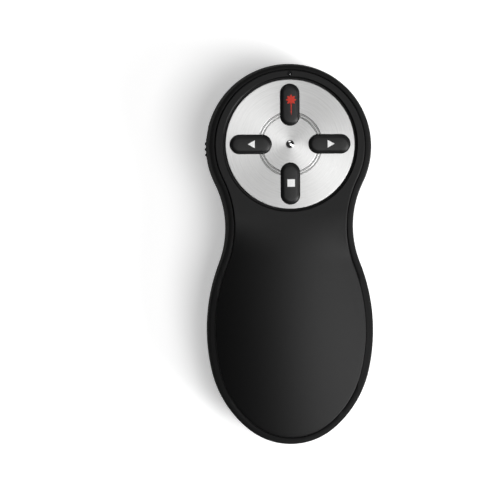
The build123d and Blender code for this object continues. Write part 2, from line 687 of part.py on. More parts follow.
def disc_adhesive():
    """Adhesive film between the disc and the recess floor."""
    film = rod(0, DISC_Y, RECESS_Z, DISC_Z, DISC_RADIUS - 2 * SLIP)
    film = film - union(key_prisms(RECESS_Z - 1, DISC_Z + 1, KEY_GAP + SLIP))
    return film - rod(0, DISC_Y, 0, FAR / 4, STUD_RADIUS)


def centre_stud():
    """Polished domed stud with a stem through the disc and the web."""
    ball = (STUD_RADIUS**2 + STUD_PROUD**2) / (2 * STUD_PROUD)
    dome = Pos(0, DISC_Y, DISC_TOP_Z + STUD_PROUD - ball) * Sphere(ball)
    dome = dome & block(-FAR, FAR, -FAR, FAR, DISC_TOP_Z, FAR)
    return dome + rod(0, DISC_Y, WEB_Z, DISC_TOP_Z, STUD_RADIUS / 2)


def key_cap(name):
    """One key: a round-ended cap on a flange that keeps it under the web."""
    x, y, turn = KEY_PLACES[name]
    cap = oblong(x, DISC_Y + y, FLANGE_Z, DISC_TOP_Z + KEY_PROUD, KEY_LENGTH, KEY_WIDTH, turn)
    cap = fillet(cap.edges().group_by(Axis.Z)[-1], KEY_FILLET)
    grown = KEY_GAP + FLANGE_OVERHANG
    flange = oblong(
        x, DISC_Y + y, FLANGE_Z, FLANGE_Z + FLANGE, KEY_LENGTH + 2 * grown, KEY_WIDTH + 2 * grown, turn
    )
    return cap + flange


def plunger(name):
    """Moving button of one tactile switch, under its key."""
    x, y, _ = KEY_PLACES[name]
    return rod(x, DISC_Y + y, TACT_TOP_Z - KEY_TRAVEL - 0.4, FLANGE_Z, PLUNGER_RADIUS)


def tact_switch_bodies():
    """Four switch bodies on the board, each with the hole its plunger sinks into."""
    shapes = []
    for x, y, _ in KEY_PLACES.values():
        half = TACT_SIZE / 2
        body = block(x - half, x + half, DISC_Y + y - half, DISC_Y + y + half, BOARD_TOP_Z, TACT_TOP_Z)
        well = rod(x, DISC_Y + y, BOARD_TOP_Z + 0.4, TACT_TOP_Z + 1, PLUNGER_RADIUS + FIT)
        shapes.append(body - well)
    return shapes


# ---------------------------------------------------------------- board
def main_pcb():
    """Round circuit board, cut straight over the contact tabs, with its screw holes."""
    edge_y = BAY_HEAD_Y - CONTACT - BOARD_OVER_TABS
    board = rod(0, DISC_Y, BOARD_Z, BOARD_TOP_Z, BOARD_RADIUS) & block(-FAR, FAR, edge_y, FAR, 0, FAR)
    board = board + block(-BOARD_TONGUE, BOARD_TONGUE, edge_y, DISC_Y, BOARD_Z, BOARD_TOP_Z)
    holes = [rod(x, y, 0, FAR / 4, SHANK_RADIUS + SLIP) for x, y in BOARD_SUPPORTS]
    return board - mirrored(union(holes))


def on_board(x, y, size):
    """A component block standing on the board at a place from the disc centre."""
    sx, sy, sz = size
    y = DISC_Y + y
    return block(x - sx / 2, x + sx / 2, y - sy / 2, y + sy / 2, BOARD_TOP_Z, BOARD_TOP_Z + sz)


def crystal_can():
    """Crystal in a low rounded can beside the radio chip."""
    can = on_board(*CRYSTAL_PLACE, CRYSTAL)
    return fillet(can.edges().filter_by(Axis.Z), CRYSTAL[0] / 4)


def chip_passives():
    """Rows of small chip components on both sides of the radio chip."""
    rows = zip(PASSIVE_STARTS, (-PASSIVE_ROW, PASSIVE_ROW))
    places = [(x + i * PASSIVE_PITCH, y) for x, y in rows for i in range(PASSIVES_PER_ROW)]
    return [on_board(x, y, PASSIVE) for x, y in places]


def antenna_trace():
    """Printed meander aerial near the head edge of the board."""
    shapes = []
    y1 = DISC_Y + BOARD_RADIUS - ANTENNA_FROM_EDGE
    y0 = y1 - ANTENNA_RUN_LENGTH
    top = BOARD_TOP_Z + ANTENNA_THICKNESS
    for i in range(ANTENNA_RUNS):
        x = ANTENNA_START_X + i * ANTENNA_PITCH
        shapes.append(block(x, x + ANTENNA_TRACK, y0, y1, BOARD_TOP_Z, top))
        if i < ANTENNA_RUNS - 1:
            y = y1 if i % 2 == 0 else y0 + ANTENNA_TRACK
            x1 = x + ANTENNA_PITCH + ANTENNA_TRACK
            shapes.append(block(x, x1, y - ANTENNA_TRACK, y, BOARD_TOP_Z, top))
    return union(shapes)


def status_led():
    """Small lamp chip at the head edge of the board."""
    return on_board(0, LED_Y - DISC_Y, LED_SIZE)


def led_light_pipe():
    """Clear rod from the lamp to the head's edge, cut flush with the cover."""
    return light_pipe(PIPE_RADIUS, 0) & COVER


# ---------------------------------------------------------------- power slider
def slider_plate_x():
    """Outer face of the slider's inner plate."""
    return -(HEAD_RADIUS - SLIDER_PLATE_INSET)


def power_slider():
    """Ribbed thumb pad, its neck, inner plate and the fork around the switch lever."""
    half = SLIDER_LENGTH / 2
    half_z = SLIDER_HEIGHT / 2
    face_x = slider_plate_x()
    z0, z1 = WIDEST_Z - half_z, WIDEST_Z + half_z
    pad = CASING & block(-FAR, face_x, SLIDER_Y - half, SLIDER_Y + half, z0, z1)
    ribs = []
    for i in range(SLIDER_RIBS):
        y = SLIDER_Y + (i - (SLIDER_RIBS - 1) / 2) * SLIDER_RIB_PITCH
        reach = math.sqrt(HEAD_RADIUS**2 - (HEAD_END_Y - HEAD_RADIUS - y)**2)
        x = -(reach + SLIDER_RIB_PROUD - SLIDER_RIB_RADIUS)
        ribs.append(rod(x, y, WIDEST_Z - 1.4, WIDEST_Z + 1.4, SLIDER_RIB_RADIUS))
    thick, long, tall = SLIDER_PLATE
    plate = block(face_x, face_x + thick, SLIDER_Y - long / 2, SLIDER_Y + long / 2,
                  WIDEST_Z - tall / 2, WIDEST_Z + tall / 2)
    lever_z = BOARD_Z - SWITCH_BODY[2] / 2
    inner = LEVER_WIDTH / 2 + FIT
    prong = block(face_x, face_x + thick, SLIDER_Y + inner, SLIDER_Y + inner + FORK_PRONG,
                  WIDEST_Z, lever_z + LEVER_HEIGHT / 2)
    fork = prong + mirror(prong, about=Plane.XZ.offset(-SLIDER_Y))
    return pad + union(ribs) + plate + fork


def slide_switch():
    """Switch body under the board and the lever that the slider's fork moves."""
    thick, long, tall = SWITCH_BODY
    x0 = slider_plate_x() + LEVER_REACH
    y0 = SLIDER_Y + SLIDER_TRAVEL / 2 - long / 2
    z = BOARD_Z - tall / 2
    half = LEVER_WIDTH / 2
    body = block(x0, x0 + thick, y0, y0 + long, BOARD_Z - tall, BOARD_Z)
    groove = block(
        x0 - 1, x0 + LEVER_ROOT + FIT, SLIDER_Y - half - SLIP, SLIDER_Y + half + SLIDER_TRAVEL + SLIP,
        z - LEVER_HEIGHT / 2 - FIT, z + LEVER_HEIGHT / 2 + FIT,
    )
    lever = block(
        x0 - LEVER_REACH, x0 + LEVER_ROOT, SLIDER_Y - half, SLIDER_Y + half,
        z - LEVER_HEIGHT / 2, z + LEVER_HEIGHT / 2,
    )
    return body - groove, lever


# ---------------------------------------------------------------- laser
def laser_barrel():
    """Brass sleeve with a bore at the front for the lens and one at the back for the diode."""
    barrel = rod_y(0, LASER_Z, LASER_BACK_Y, LASER_FRONT_Y, LASER_RADIUS)
    front = rod_y(0, LASER_Z, LASER_FRONT_Y - LENS_THICKNESS - LASER_SHOULDER, LASER_FRONT_Y + 1,
                  LENS_RADIUS + FIT)
    back = rod_y(0, LASER_Z, LASER_BACK_Y - 1, LASER_BACK_Y + DIODE_LENGTH, DIODE_RADIUS + FIT)
    through = rod_y(0, LASER_Z, LASER_BACK_Y - 1, LASER_FRONT_Y + 1, LENS_RADIUS / 2)
    return barrel - front - back - through


def laser_lens():
    """Collimating lens, flat behind and domed in front."""
    y0 = LASER_FRONT_Y - LENS_THICKNESS - LASER_SHOULDER
    disc = rod_y(0, LASER_Z, y0, y0 + LENS_THICKNESS, LENS_RADIUS)
    dome = Pos(0, y0 + LENS_THICKNESS - 2 * LENS_RADIUS, LASER_Z) * Sphere(2 * LENS_RADIUS)
    return disc & dome


def laser_diode_can():
    """Diode can pressed into the back of the barrel, with its flange behind."""
    can = rod_y(0, LASER_Z, LASER_BACK_Y, LASER_BACK_Y + DIODE_LENGTH - FIT, DIODE_RADIUS)
    return can + rod_y(0, LASER_Z, LASER_BACK_Y - 1.0, LASER_BACK_Y, DIODE_RADIUS + 0.6)


def laser_driver_board():
    """Small board behind the laser diode."""
    sx, sy, sz = DRIVER_BOARD
    y1 = LASER_BACK_Y - 1.0
    return block(-sx / 2, sx / 2, y1 - sy, y1, LASER_Z - sz / 2, LASER_Z + sz / 2)


def laser_pins():
    """Two pins that join the driver board to the main board."""
    y = LASER_BACK_Y - 1.0 - DRIVER_BOARD[1] + 1.5
    low = LASER_Z + DRIVER_BOARD[2] / 2
    return [rod(x, y, low, BOARD_Z, PIN_RADIUS) for x in (-1.27, 1.27)]


def laser_window():
    """Clear window in its stepped seat in the front wall."""
    y1 = HEAD_END_Y - WINDOW_RECESS
    return rod_y(0, LASER_Z, y1 - WINDOW_THICKNESS, y1, WINDOW_RADIUS)


def laser_clip():
    """Saddle strap over the barrel, standing on the two saddles."""
    y0 = LASER_BACK_Y + 1.5
    y1 = LASER_FRONT_Y - 1.5
    half = SADDLE_WIDTH / 2
    strap = block(-half, half, y0, y1, LASER_Z, LASER_Z + LASER_RADIUS + CLIP_WALL)
    return strap - rod_y(0, LASER_Z, y0 - 1, y1 + 1, LASER_RADIUS + FIT)


# ---------------------------------------------------------------- batteries and contacts
def cell(x, nub_to_head):
    """One cell along Y: body and the positive nub, towards the head or the tail."""
    if nub_to_head:
        y0 = BAY_TAIL_Y + CONTACT + SPRING_LENGTH
        body = rod_y(x, CELL_Z, y0, y0 + CELL_BODY, CELL_RADIUS)
        nub = rod_y(x, CELL_Z, y0 + CELL_BODY, y0 + CELL_BODY + CELL_NUB, CELL_NUB_RADIUS)
    else:
        y0 = BAY_TAIL_Y + CONTACT
        body = rod_y(x, CELL_Z, y0 + CELL_NUB, y0 + CELL_NUB + CELL_BODY, CELL_RADIUS)
        nub = rod_y(x, CELL_Z, y0, y0 + CELL_NUB, CELL_NUB_RADIUS)
    body = fillet(body.edges().filter_by(GeomType.CIRCLE), 0.5)
    return body + nub


def coil(x, y):
    """Contact spring, a plain helix along Y from y."""
    wire = SPRING_WIRE / 2
    height = SPRING_LENGTH - 2 * wire
    helix = Helix(pitch=height / SPRING_TURNS, height=height, radius=SPRING_RADIUS)
    profile = Plane(origin=helix @ 0, z_dir=helix % 0) * Circle(wire)
    spring = sweep(profile, path=helix)
    return Pos(x, y + wire, CELL_Z) * Rot(-90, 0, 0) * spring


def bridge_contact():
    """Plate at the tail end that joins both cells."""
    half = CELL_SPACING / 2 + CONTACT_RADIUS
    z0, z1 = CELL_Z - CONTACT_RADIUS + 1, CELL_Z + CONTACT_RADIUS
    return block(-half, half, BAY_TAIL_Y, BAY_TAIL_Y + CONTACT, z0, z1)


def contact_tab(x, gap):
    """Tab of a head contact, from the ceiling up to the board, grown by a gap."""
    half = CONTACT_TAB / 2 + gap
    return block(x - half, x + half, BAY_HEAD_Y - CONTACT - gap, BAY_HEAD_Y + gap, CEILING_Z, BOARD_Z)


def head_contact(x):
    """Contact plate at the head end of the bay, its tab going up to the board."""
    plate = block(
        x - CONTACT_RADIUS, x + CONTACT_RADIUS, BAY_HEAD_Y - CONTACT, BAY_HEAD_Y,
        CELL_Z - CONTACT_RADIUS + 1, CEILING_Z,
    )
    return plate + contact_tab(x, 0)


# ---------------------------------------------------------------- fasteners
def screw(x, y, head_z, length):
    """Pan-head screw driven upwards, its head lowest, with a cross-shaped drive."""
    head = rod(x, y, head_z, head_z + SCREW_HEAD_HEIGHT, SCREW_HEAD_RADIUS)
    head = fillet(head.edges().group_by(Axis.Z)[0], 0.4)
    z0, z1 = head_z - 1, head_z + DRIVE_DEPTH
    half = DRIVE_WIDTH / 2
    cross = block(x - DRIVE_RADIUS, x + DRIVE_RADIUS, y - half, y + half, z0, z1)
    cross = cross + block(x - half, x + half, y - DRIVE_RADIUS, y + DRIVE_RADIUS, z0, z1)
    return (head - cross) + rod(x, y, head_z + SCREW_HEAD_HEIGHT, head_z + length, SHANK_RADIUS)


def case_screws():
    """Two long screws at the head and two short ones at the tail."""
    head_z = SCREW_RECESS
    head_long = BOARD_TOP_Z + SCREW_BITE - head_z
    tail_z = PLATE_Z + SCREW_RECESS
    tail_long = TAIL_POST_TOP + SCREW_BITE - tail_z
    shapes = []
    for side in (-1, 1):
        shapes.append(screw(side * HEAD_POST_X, HEAD_POST_Y, head_z, head_long))
        shapes.append(screw(side * TAIL_SCREW_X, TAIL_SCREW_Y, tail_z, tail_long))
    return shapes


def pcb_screws():
    """Two screws that hold the board down on its rear posts."""
    shapes = []
    for side in (-1, 1):
        x = side * BOARD_POST_X
        head = rod(x, BOARD_POST_Y, BOARD_TOP_Z, BOARD_TOP_Z + SCREW_HEAD_HEIGHT, SCREW_HEAD_RADIUS)
        low = BOARD_Z - PILOT_DEPTH + PILOT_SPARE
        shapes.append(head + rod(x, BOARD_POST_Y, low, BOARD_TOP_Z, SHANK_RADIUS))
    return shapes


# ---------------------------------------------------------------- receiver
def plug_block(shrink, y0, y1):
    """The plug's section, drawn in by shrink, from y0 to y1."""
    half = PLUG_WIDTH / 2 - shrink
    half_z = PLUG_HEIGHT / 2 - shrink
    return block(-half, half, y0, y1, RECEIVER_Z - half_z, RECEIVER_Z + half_z)


def receiver_shell():
    """Metal plug shell with four windows in its upper and lower face."""
    root_y = PLUG_TIP_Y - PLUG_LENGTH
    shell = plug_block(0, root_y, PLUG_TIP_Y) - plug_block(PLUG_SKIN, root_y - 1, PLUG_TIP_Y + 1)
    x0, x1 = WINDOW_OFFSET - WINDOW_WIDTH / 2, WINDOW_OFFSET + WINDOW_WIDTH / 2
    for row in WINDOW_ROWS:
        y = PLUG_TIP_Y - row
        window = block(x0, x1, y - WINDOW_LENGTH / 2, y + WINDOW_LENGTH / 2, 0, FAR)
        shell = shell - mirrored(window)
    return shell


def receiver_tongue():
    """Plastic tongue inside the plug, carrying the contacts, with a foot that fills the root."""
    root_y = PLUG_TIP_Y - PLUG_LENGTH
    inner_x = PLUG_WIDTH / 2 - PLUG_SKIN - FIT
    low = RECEIVER_Z - PLUG_HEIGHT / 2 + PLUG_SKIN + FIT
    tongue = block(-inner_x, inner_x, root_y, PLUG_TIP_Y - 0.6, low, low + TONGUE_THICKNESS)
    foot_top = RECEIVER_Z + PLUG_HEIGHT / 2 - PLUG_SKIN - FIT
    return tongue + block(-inner_x, inner_x, root_y, root_y + 1.2, low, foot_top)


def receiver_board():
    """Thin board lying on the tongue."""
    root_y = PLUG_TIP_Y - PLUG_LENGTH
    low = RECEIVER_Z - PLUG_HEIGHT / 2 + PLUG_SKIN + FIT + TONGUE_THICKNESS
    half = PLUG_WIDTH / 2 - PLUG_SKIN - 3 * FIT
    return block(-half, half, root_y + 1.2, PLUG_TIP_Y - 0.8, low, low + RECEIVER_BOARD)


def receiver_contacts():
    """Four gold fingers on the board, the outer two longer."""
    low = RECEIVER_Z - PLUG_HEIGHT / 2 + PLUG_SKIN + FIT + TONGUE_THICKNESS + RECEIVER_BOARD
    half = FINGER_WIDTH / 2
    y1 = PLUG_TIP_Y - 1.2
    return [block(x - half, x + half, y1 - long, y1, low, low + FINGER_THICKNESS) for x, long in FINGERS]


def receiver_cap():
    """Plastic cap at the plug's root: a body as wide as the plug and a wider end flange."""
    root_y = PLUG_TIP_Y - PLUG_LENGTH
    body = block(
        -PLUG_WIDTH / 2, PLUG_WIDTH / 2, root_y - CAP_LENGTH + CAP_FLANGE, root_y,
        RECEIVER_Z - CAP_BODY_HEIGHT / 2, RECEIVER_Z + CAP_BODY_HEIGHT / 2,
    )
    flange = block(
        -CAP_WIDTH / 2, CAP_WIDTH / 2, root_y - CAP_LENGTH, root_y - CAP_LENGTH + CAP_FLANGE,
        RECEIVER_Z - CAP_HEIGHT / 2, RECEIVER_Z + CAP_HEIGHT / 2,
    )
    return fillet(body.edges().filter_by(Axis.Y), 0.6) + fillet(flange.edges().filter_by(Axis.Y), 0.8)


# ---------------------------------------------------------------- output
def save(name, shape):
    """Write one node, a shape or a list of separate solids."""
    if isinstance(shape, list):
        shape = Compound(children=[solid for item in shape for solid in item.solids()])
    export_step(shape, f"parts/{name}.step")


def main():
    """Build and write every node."""
    os.makedirs("parts", exist_ok=True)
    save("lower_case", lower_case())
    save("top_cover", top_cover())
    save("battery_door", battery_door())
    save("control_disc", control_disc())
    save("disc_adhesive", disc_adhesive())
    save("centre_stud", centre_stud())
    for name in KEY_PLACES:
        save(f"{name}_key", key_cap(name))
        save(f"{name}_plunger", plunger(name))
    save("tact_switch_bodies", tact_switch_bodies())
    save("main_pcb", main_pcb())
    save("rf_chip", on_board(0, 0, RF_CHIP))
    save("crystal_can", crystal_can())
    save("chip_passives", chip_passives())
    save("antenna_trace", antenna_trace())
    save("status_led", status_led())
    save("led_light_pipe", led_light_pipe())
    body, lever = slide_switch()
    save("slide_switch_body", body)
    save("slide_switch_lever", lever)
    save("power_slider", power_slider())
    save("laser_barrel", laser_barrel())
    save("laser_lens", laser_lens())
    save("laser_diode_can", laser_diode_can())
    save("laser_driver_board", laser_driver_board())
    save("laser_pins", laser_pins())
    save("laser_window", laser_window())
    save("laser_clip", laser_clip())
    save("cell_left", cell(-CELL_SPACING / 2, True))
    save("cell_right", cell(CELL_SPACING / 2, False))
    save("bridge_contact", bridge_contact())
    save("positive_contact", head_contact(-CELL_SPACING / 2))
    save("negative_contact", head_contact(CELL_SPACING / 2))
    save("bridge_spring", coil(-CELL_SPACING / 2, BAY_TAIL_Y + CONTACT))
    save("negative_spring", coil(CELL_SPACING / 2, BAY_HEAD_Y - CONTACT - SPRING_LENGTH))
    save("case_screws", case_screws())
    save("pcb_screws", pcb_screws())
    save("receiver_shell", receiver_shell())
    save("receiver_tongue", receiver_tongue())
    save("receiver_board", receiver_board())
    save("receiver_contacts", receiver_contacts())
    save("receiver_cap", receiver_cap())


main()
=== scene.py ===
"""Looks of a hand-held presentation clicker, built around its packed construction.

Lengths in the classes are millimetres; a mesh is turned into metres when it is made.
+X is to the right, +Y towards the head and +Z out of the keys.
"""

import logging
import math
from dataclasses import dataclass, field
from enum import Enum
from typing import ClassVar

import bpy
import numpy as np
from mathutils import Matrix, Vector


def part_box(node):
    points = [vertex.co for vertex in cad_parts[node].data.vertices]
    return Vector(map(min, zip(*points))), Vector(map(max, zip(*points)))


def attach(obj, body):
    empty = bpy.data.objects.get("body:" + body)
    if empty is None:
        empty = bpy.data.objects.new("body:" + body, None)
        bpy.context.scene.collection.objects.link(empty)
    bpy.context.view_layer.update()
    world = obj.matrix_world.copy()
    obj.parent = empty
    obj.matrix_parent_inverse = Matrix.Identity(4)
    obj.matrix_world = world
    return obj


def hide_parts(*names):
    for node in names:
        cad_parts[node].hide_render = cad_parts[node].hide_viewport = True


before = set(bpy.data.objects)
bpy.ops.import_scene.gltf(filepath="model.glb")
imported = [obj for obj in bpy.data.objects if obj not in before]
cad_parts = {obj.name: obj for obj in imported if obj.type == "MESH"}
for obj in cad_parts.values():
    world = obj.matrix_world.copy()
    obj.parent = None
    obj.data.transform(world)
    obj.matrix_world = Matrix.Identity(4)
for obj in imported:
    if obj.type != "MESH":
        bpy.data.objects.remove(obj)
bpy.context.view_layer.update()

MM = 0.001
IMAGE_SIZE = 500
LOG = logging.getLogger("clicker")

SHARP_DEGREES = 35.0  # edges past this angle stay sharp
AXIS_RADIUS = 0.05  # innermost ring of a turned tool or boss
TURNED_STEPS = 48  # points round a turned tool or boss
TOOL_REACH = 1.0  # how far a cutting tool goes past what it cuts
STEM_SHARE = 0.5  # radius of the stud's stem over that of its head

Array = np.ndarray
Place = tuple[float, float, float]
Sources = dict[str | int, object]


# ---------------------------------------------------------------- mesh helpers
def node_box(node: str) -> tuple[Array, Array]:
    """Lowest and highest corner of a construction node, in millimetres."""
    low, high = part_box(node)
    return np.array(low) / MM, np.array(high) / MM


def signed_volume(points: Array, faces: Array) -> float:
    """Volume that quads enclose: the sum of the tetrahedra between each half quad and the origin.

    Args:
        points: corners, one row each.
        faces: quads as rows of four indices; a triangle repeats its last corner.

    Returns:
        The volume, positive where the faces point outwards.
    """
    a, b, c, d = (points[faces[:, k]] for k in range(4))
    first = np.einsum("ij,ij->i", a, np.cross(b, c))
    second = np.einsum("ij,ij->i", a, np.cross(c, d))
    return float((first + second).sum() / 6)


def mesh_object(name: str, points: Array, faces: Array, sharp: float = SHARP_DEGREES) -> bpy.types.Object:
    """A new closed piece from quads, its faces turned outwards.

    Args:
        name: name of the piece.
        points: corners in millimetres.
        faces: quads as rows of four indices; a triangle repeats its last corner.
        sharp: angle in degrees past which an edge stays sharp.

    Returns:
        The object, linked into the scene, its place in its mesh.
    """
    if signed_volume(points, faces) < 0:
        faces = faces[:, ::-1]
    mesh = bpy.data.meshes.new(name)
    rows = [tuple(dict.fromkeys(face)) for face in faces.tolist()]
    mesh.from_pydata((points * MM).tolist(), [], rows)
    mesh.update()
    piece = bpy.data.objects.new(name, mesh)
    bpy.context.scene.collection.objects.link(piece)
    smooth(piece, sharp)
    return piece


def smooth(piece: bpy.types.Object, sharp: float) -> None:
    """Smooth shading, with edges kept sharp past an angle in degrees."""
    piece.data.shade_smooth()
    piece.data.set_sharp_from_angle(angle=math.radians(sharp))


def raised(flat: Array, height: Array | float) -> Array:
    """Flat points lifted into space, by a height for each or a column with one for each ring."""
    return np.concatenate([flat, np.broadcast_to(height, flat.shape[:-1])[..., None]], axis=-1)


def ring_faces(rings: int, count: int) -> Array:
    """Quads between closed rings of points that follow each other.

    Args:
        rings: number of rings.
        count: points on each ring.

    Returns:
        Rows of four indices into the rings laid one after the other.
    """
    low = np.arange(rings - 1)[:, None] * count
    high = low + count
    around = np.arange(count)[None, :]
    after = (around + 1) % count
    quads = np.stack([low + around, low + after, high + after, high + around], axis=-1)
    return quads.reshape(-1, 4)


def capped(rings: Array) -> tuple[Array, Array]:
    """Closed skin through rings, with a pole at the middle of the first and of the last ring.

    Args:
        rings: points with shape (rings, around, 3).

    Returns:
        Points and faces, the poles' triangles repeating their last corner.
    """
    number, count = rings.shape[:2]
    points = rings.reshape(-1, 3)
    poles = np.stack([rings[0].mean(axis=0), rings[-1].mean(axis=0)])
    first, last = number * count, number * count + 1
    around = np.arange(count)
    after = (around + 1) % count
    start = np.stack([np.full(count, first), after, around, around], axis=-1)
    base = (number - 1) * count
    end = np.stack([np.full(count, last), base + around, base + after, base + after], axis=-1)
    faces = np.concatenate([start, ring_faces(number, count), end])
    return np.concatenate([points, poles]), faces


def lathe(name: str, profile: Array, centre: tuple[float, float],
          count: int = TURNED_STEPS) -> bpy.types.Object:
    """A turned piece about an upright axis: each profile point runs once round its circle.

    Args:
        name: name of the piece.
        profile: rows of radius and height, from one end of the axis to the other.
        centre: place of the axis.
        count: points around.

    Returns:
        The closed piece.
    """
    angle = np.linspace(0, 2 * np.pi, count, endpoint=False)
    radius, height = profile[:, :1], profile[:, 1:]
    x = centre[0] + radius * np.cos(angle)
    y = centre[1] + radius * np.sin(angle)
    return mesh_object(name, *capped(raised(np.stack([x, y], axis=-1), height)))


def rounded_profile(points: list[tuple[float, float]], radii: list[float], steps: int = 5) -> Array:
    """A profile whose corners are rounded: each becomes a quadratic curve between its tangent points.

    Args:
        points: corners of the profile.
        radii: how far from each corner its curve starts; 0 leaves it as it is.
        steps: points on each rounded corner.

    Returns:
        Rows of two coordinates.
    """
    rows = [np.array([points[0]], float)]
    share = np.linspace(0, 1, steps)[:, None]
    for before, corner, after, radius in zip(points, points[1:], points[2:], radii):
        here = np.array(corner, float)
        if radius == 0:
            rows.append(here[None])
            continue
        back = np.array(before, float) - here
        ahead = np.array(after, float) - here
        start = here + back / np.linalg.norm(back) * radius
        end = here + ahead / np.linalg.norm(ahead) * radius
        rows.append((1 - share)**2 * start + 2 * share * (1 - share) * here + share**2 * end)
    rows.append(np.array([points[-1]], float))
    return np.concatenate(rows)


def stadium(length: float, width: float, inset: Array, count: int) -> Array:
    """Round-ended outlines about the origin, long side along X, each drawn in by its inset.

    A point is an end of the middle line plus the remaining half width along its direction; the long
    sides lie between the two round ends.

    Args:
        length: overall length.
        width: overall width.
        inset: how far each ring is drawn in, up to half the width; a negative one grows it.
        count: points on each quarter turn.

    Returns:
        Points with shape (rings, 4 * count, 2).
    """
    half_line = (length - width) / 2
    turn = np.linspace(0, np.pi / 2, count + 1)[:-1]
    angle = np.concatenate([turn, turn + np.pi / 2, turn + np.pi, turn + 3 * np.pi / 2])
    end = np.concatenate([np.ones(count), -np.ones(2 * count), np.ones(count)])
    radius = np.maximum(width / 2 - np.asarray(inset, float), 0)[:, None]
    x = half_line * end + radius * np.cos(angle)
    y = radius * np.sin(angle)
    return np.stack([x, y], axis=-1)


def turned(flat: Array, place: Place) -> Array:
    """Flat points turned about the origin and then moved.

    Args:
        flat: points, their two coordinates last.
        place: x, y and the turn in degrees.

    Returns:
        The points, in the same shape.
    """
    x, y, degrees = place
    turn = math.radians(degrees)
    matrix = np.array([[math.cos(turn), math.sin(turn)], [-math.sin(turn), math.cos(turn)]])
    return flat @ matrix + np.array([x, y])


def oblong_cutter(name: str, place: Place, size: tuple[float, float], heights: tuple[float, float],
                  count: int = 16) -> bpy.types.Object:
    """Round-ended upright prism for cutting: its length and width, and its lower and upper level."""
    flat = turned(stadium(*size, np.zeros(2), count), place)
    return mesh_object(name, *capped(raised(flat, np.array(heights)[:, None])))


class Cut(Enum):
    """What a boolean tool does."""

    REMOVE = "DIFFERENCE"
    ADD = "UNION"


def carve(piece: bpy.types.Object, tools: list[bpy.types.Object], action: Cut, sharp: float) -> None:
    """Boolean operations on a piece, made final, after which the tools are gone.

    Args:
        piece: the piece to change.
        tools: closed pieces that cut it or join it.
        action: what each tool does.
        sharp: angle in degrees past which an edge of the result stays sharp.
    """
    for tool in tools:
        step = piece.modifiers.new("carve", "BOOLEAN")
        step.operation = action.value
        step.object = tool
        step.solver = "EXACT"
    settle(piece)
    for tool in tools:
        bpy.data.objects.remove(tool)
    smooth(piece, sharp)


def settle(piece: bpy.types.Object) -> None:
    """Make a piece's modifiers part of its mesh.

    Args:
        piece: the piece, which keeps its name and loses its modifiers.
    """
    graph = bpy.context.evaluated_depsgraph_get()
    graph.update()
    made = bpy.data.meshes.new_from_object(piece.evaluated_get(graph))
    piece.modifiers.clear()
    old = piece.data
    piece.data = made
    made.name = piece.name
    bpy.data.meshes.remove(old)


def soften(piece: bpy.types.Object, width: float, segments: int = 2) -> None:
    """Round a piece's sharp edges.

    Args:
        piece: the piece to change.
        width: width of the rounding in millimetres.
        segments: strips of faces across the rounding.
    """
    step = piece.modifiers.new("soften", "BEVEL")
    step.width = width * MM
    step.segments = segments
    step.limit_method = "ANGLE"
    step.angle_limit = math.radians(SHARP_DEGREES)
    step.harden_normals = True
    settle(piece)


def merged_copy(node: str, name: str, weld: float = 0.0005, flat: float = 0.2,
                sharp: float = 30.0) -> bpy.types.Object:
    """A copy of a construction node with its loose triangles joined and its flat faces made whole.

    Args:
        node: the node to copy.
        name: name of the new piece.
        weld: gap in millimetres up to which corners are one.
        flat: angle in degrees up to which neighbouring triangles are one face.
        sharp: angle in degrees past which an edge stays sharp.

    Returns:
        The copy, which stands for the node.
    """
    piece = bpy.data.objects.new(name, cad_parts[node].data.copy())
    bpy.context.scene.collection.objects.link(piece)
    piece.data.materials.clear()
    joined = piece.modifiers.new("weld", "WELD")
    joined.merge_threshold = weld * MM
    whole = piece.modifiers.new("flat", "DECIMATE")
    whole.decimate_type = "DISSOLVE"
    whole.angle_limit = math.radians(flat)
    settle(piece)
    smooth(piece, sharp)
    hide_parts(node)
    return piece


# ---------------------------------------------------------------- finishes
@dataclass(frozen=True)
class Wiring:
    """Adds shader nodes to a material and feeds their inputs."""

    tree: bpy.types.NodeTree

    @property
    def shader(self) -> bpy.types.Node:
        """The material's surface shader."""
        return self.tree.nodes["Principled BSDF"]

    def add(self, kind: str, sources: Sources, **options: object) -> bpy.types.NodeOutputs:
        """A new node.

        Args:
            kind: the node's type, after the word that all shader nodes start with.
            sources: what feeds each input, by the input's name or number.
            options: the node's own settings.

        Returns:
            The node's outputs.
        """
        node = self.tree.nodes.new(f"ShaderNode{kind}")
        for name, value in options.items():
            setattr(node, name, value)
        self.feed(node, sources)
        return node.outputs

    def feed(self, node: bpy.types.Node, sources: Sources) -> None:
        """Give inputs their values, or link them where the source is another node's output.

        Args:
            node: the node whose inputs are fed.
            sources: a value or an output for each input, by the input's name or number.
        """
        for key, source in sources.items():
            if isinstance(source, bpy.types.NodeSocket):
                self.tree.links.new(source, node.inputs[key])
            else:
                node.inputs[key].default_value = source


class Pattern(Enum):
    """Surface patterns that a finish may carry."""

    GRAIN = "fine moulded grain"
    TURNED = "concentric turning marks"
    DRAWN = "straight drawing marks"
    CLEAR = "clear"


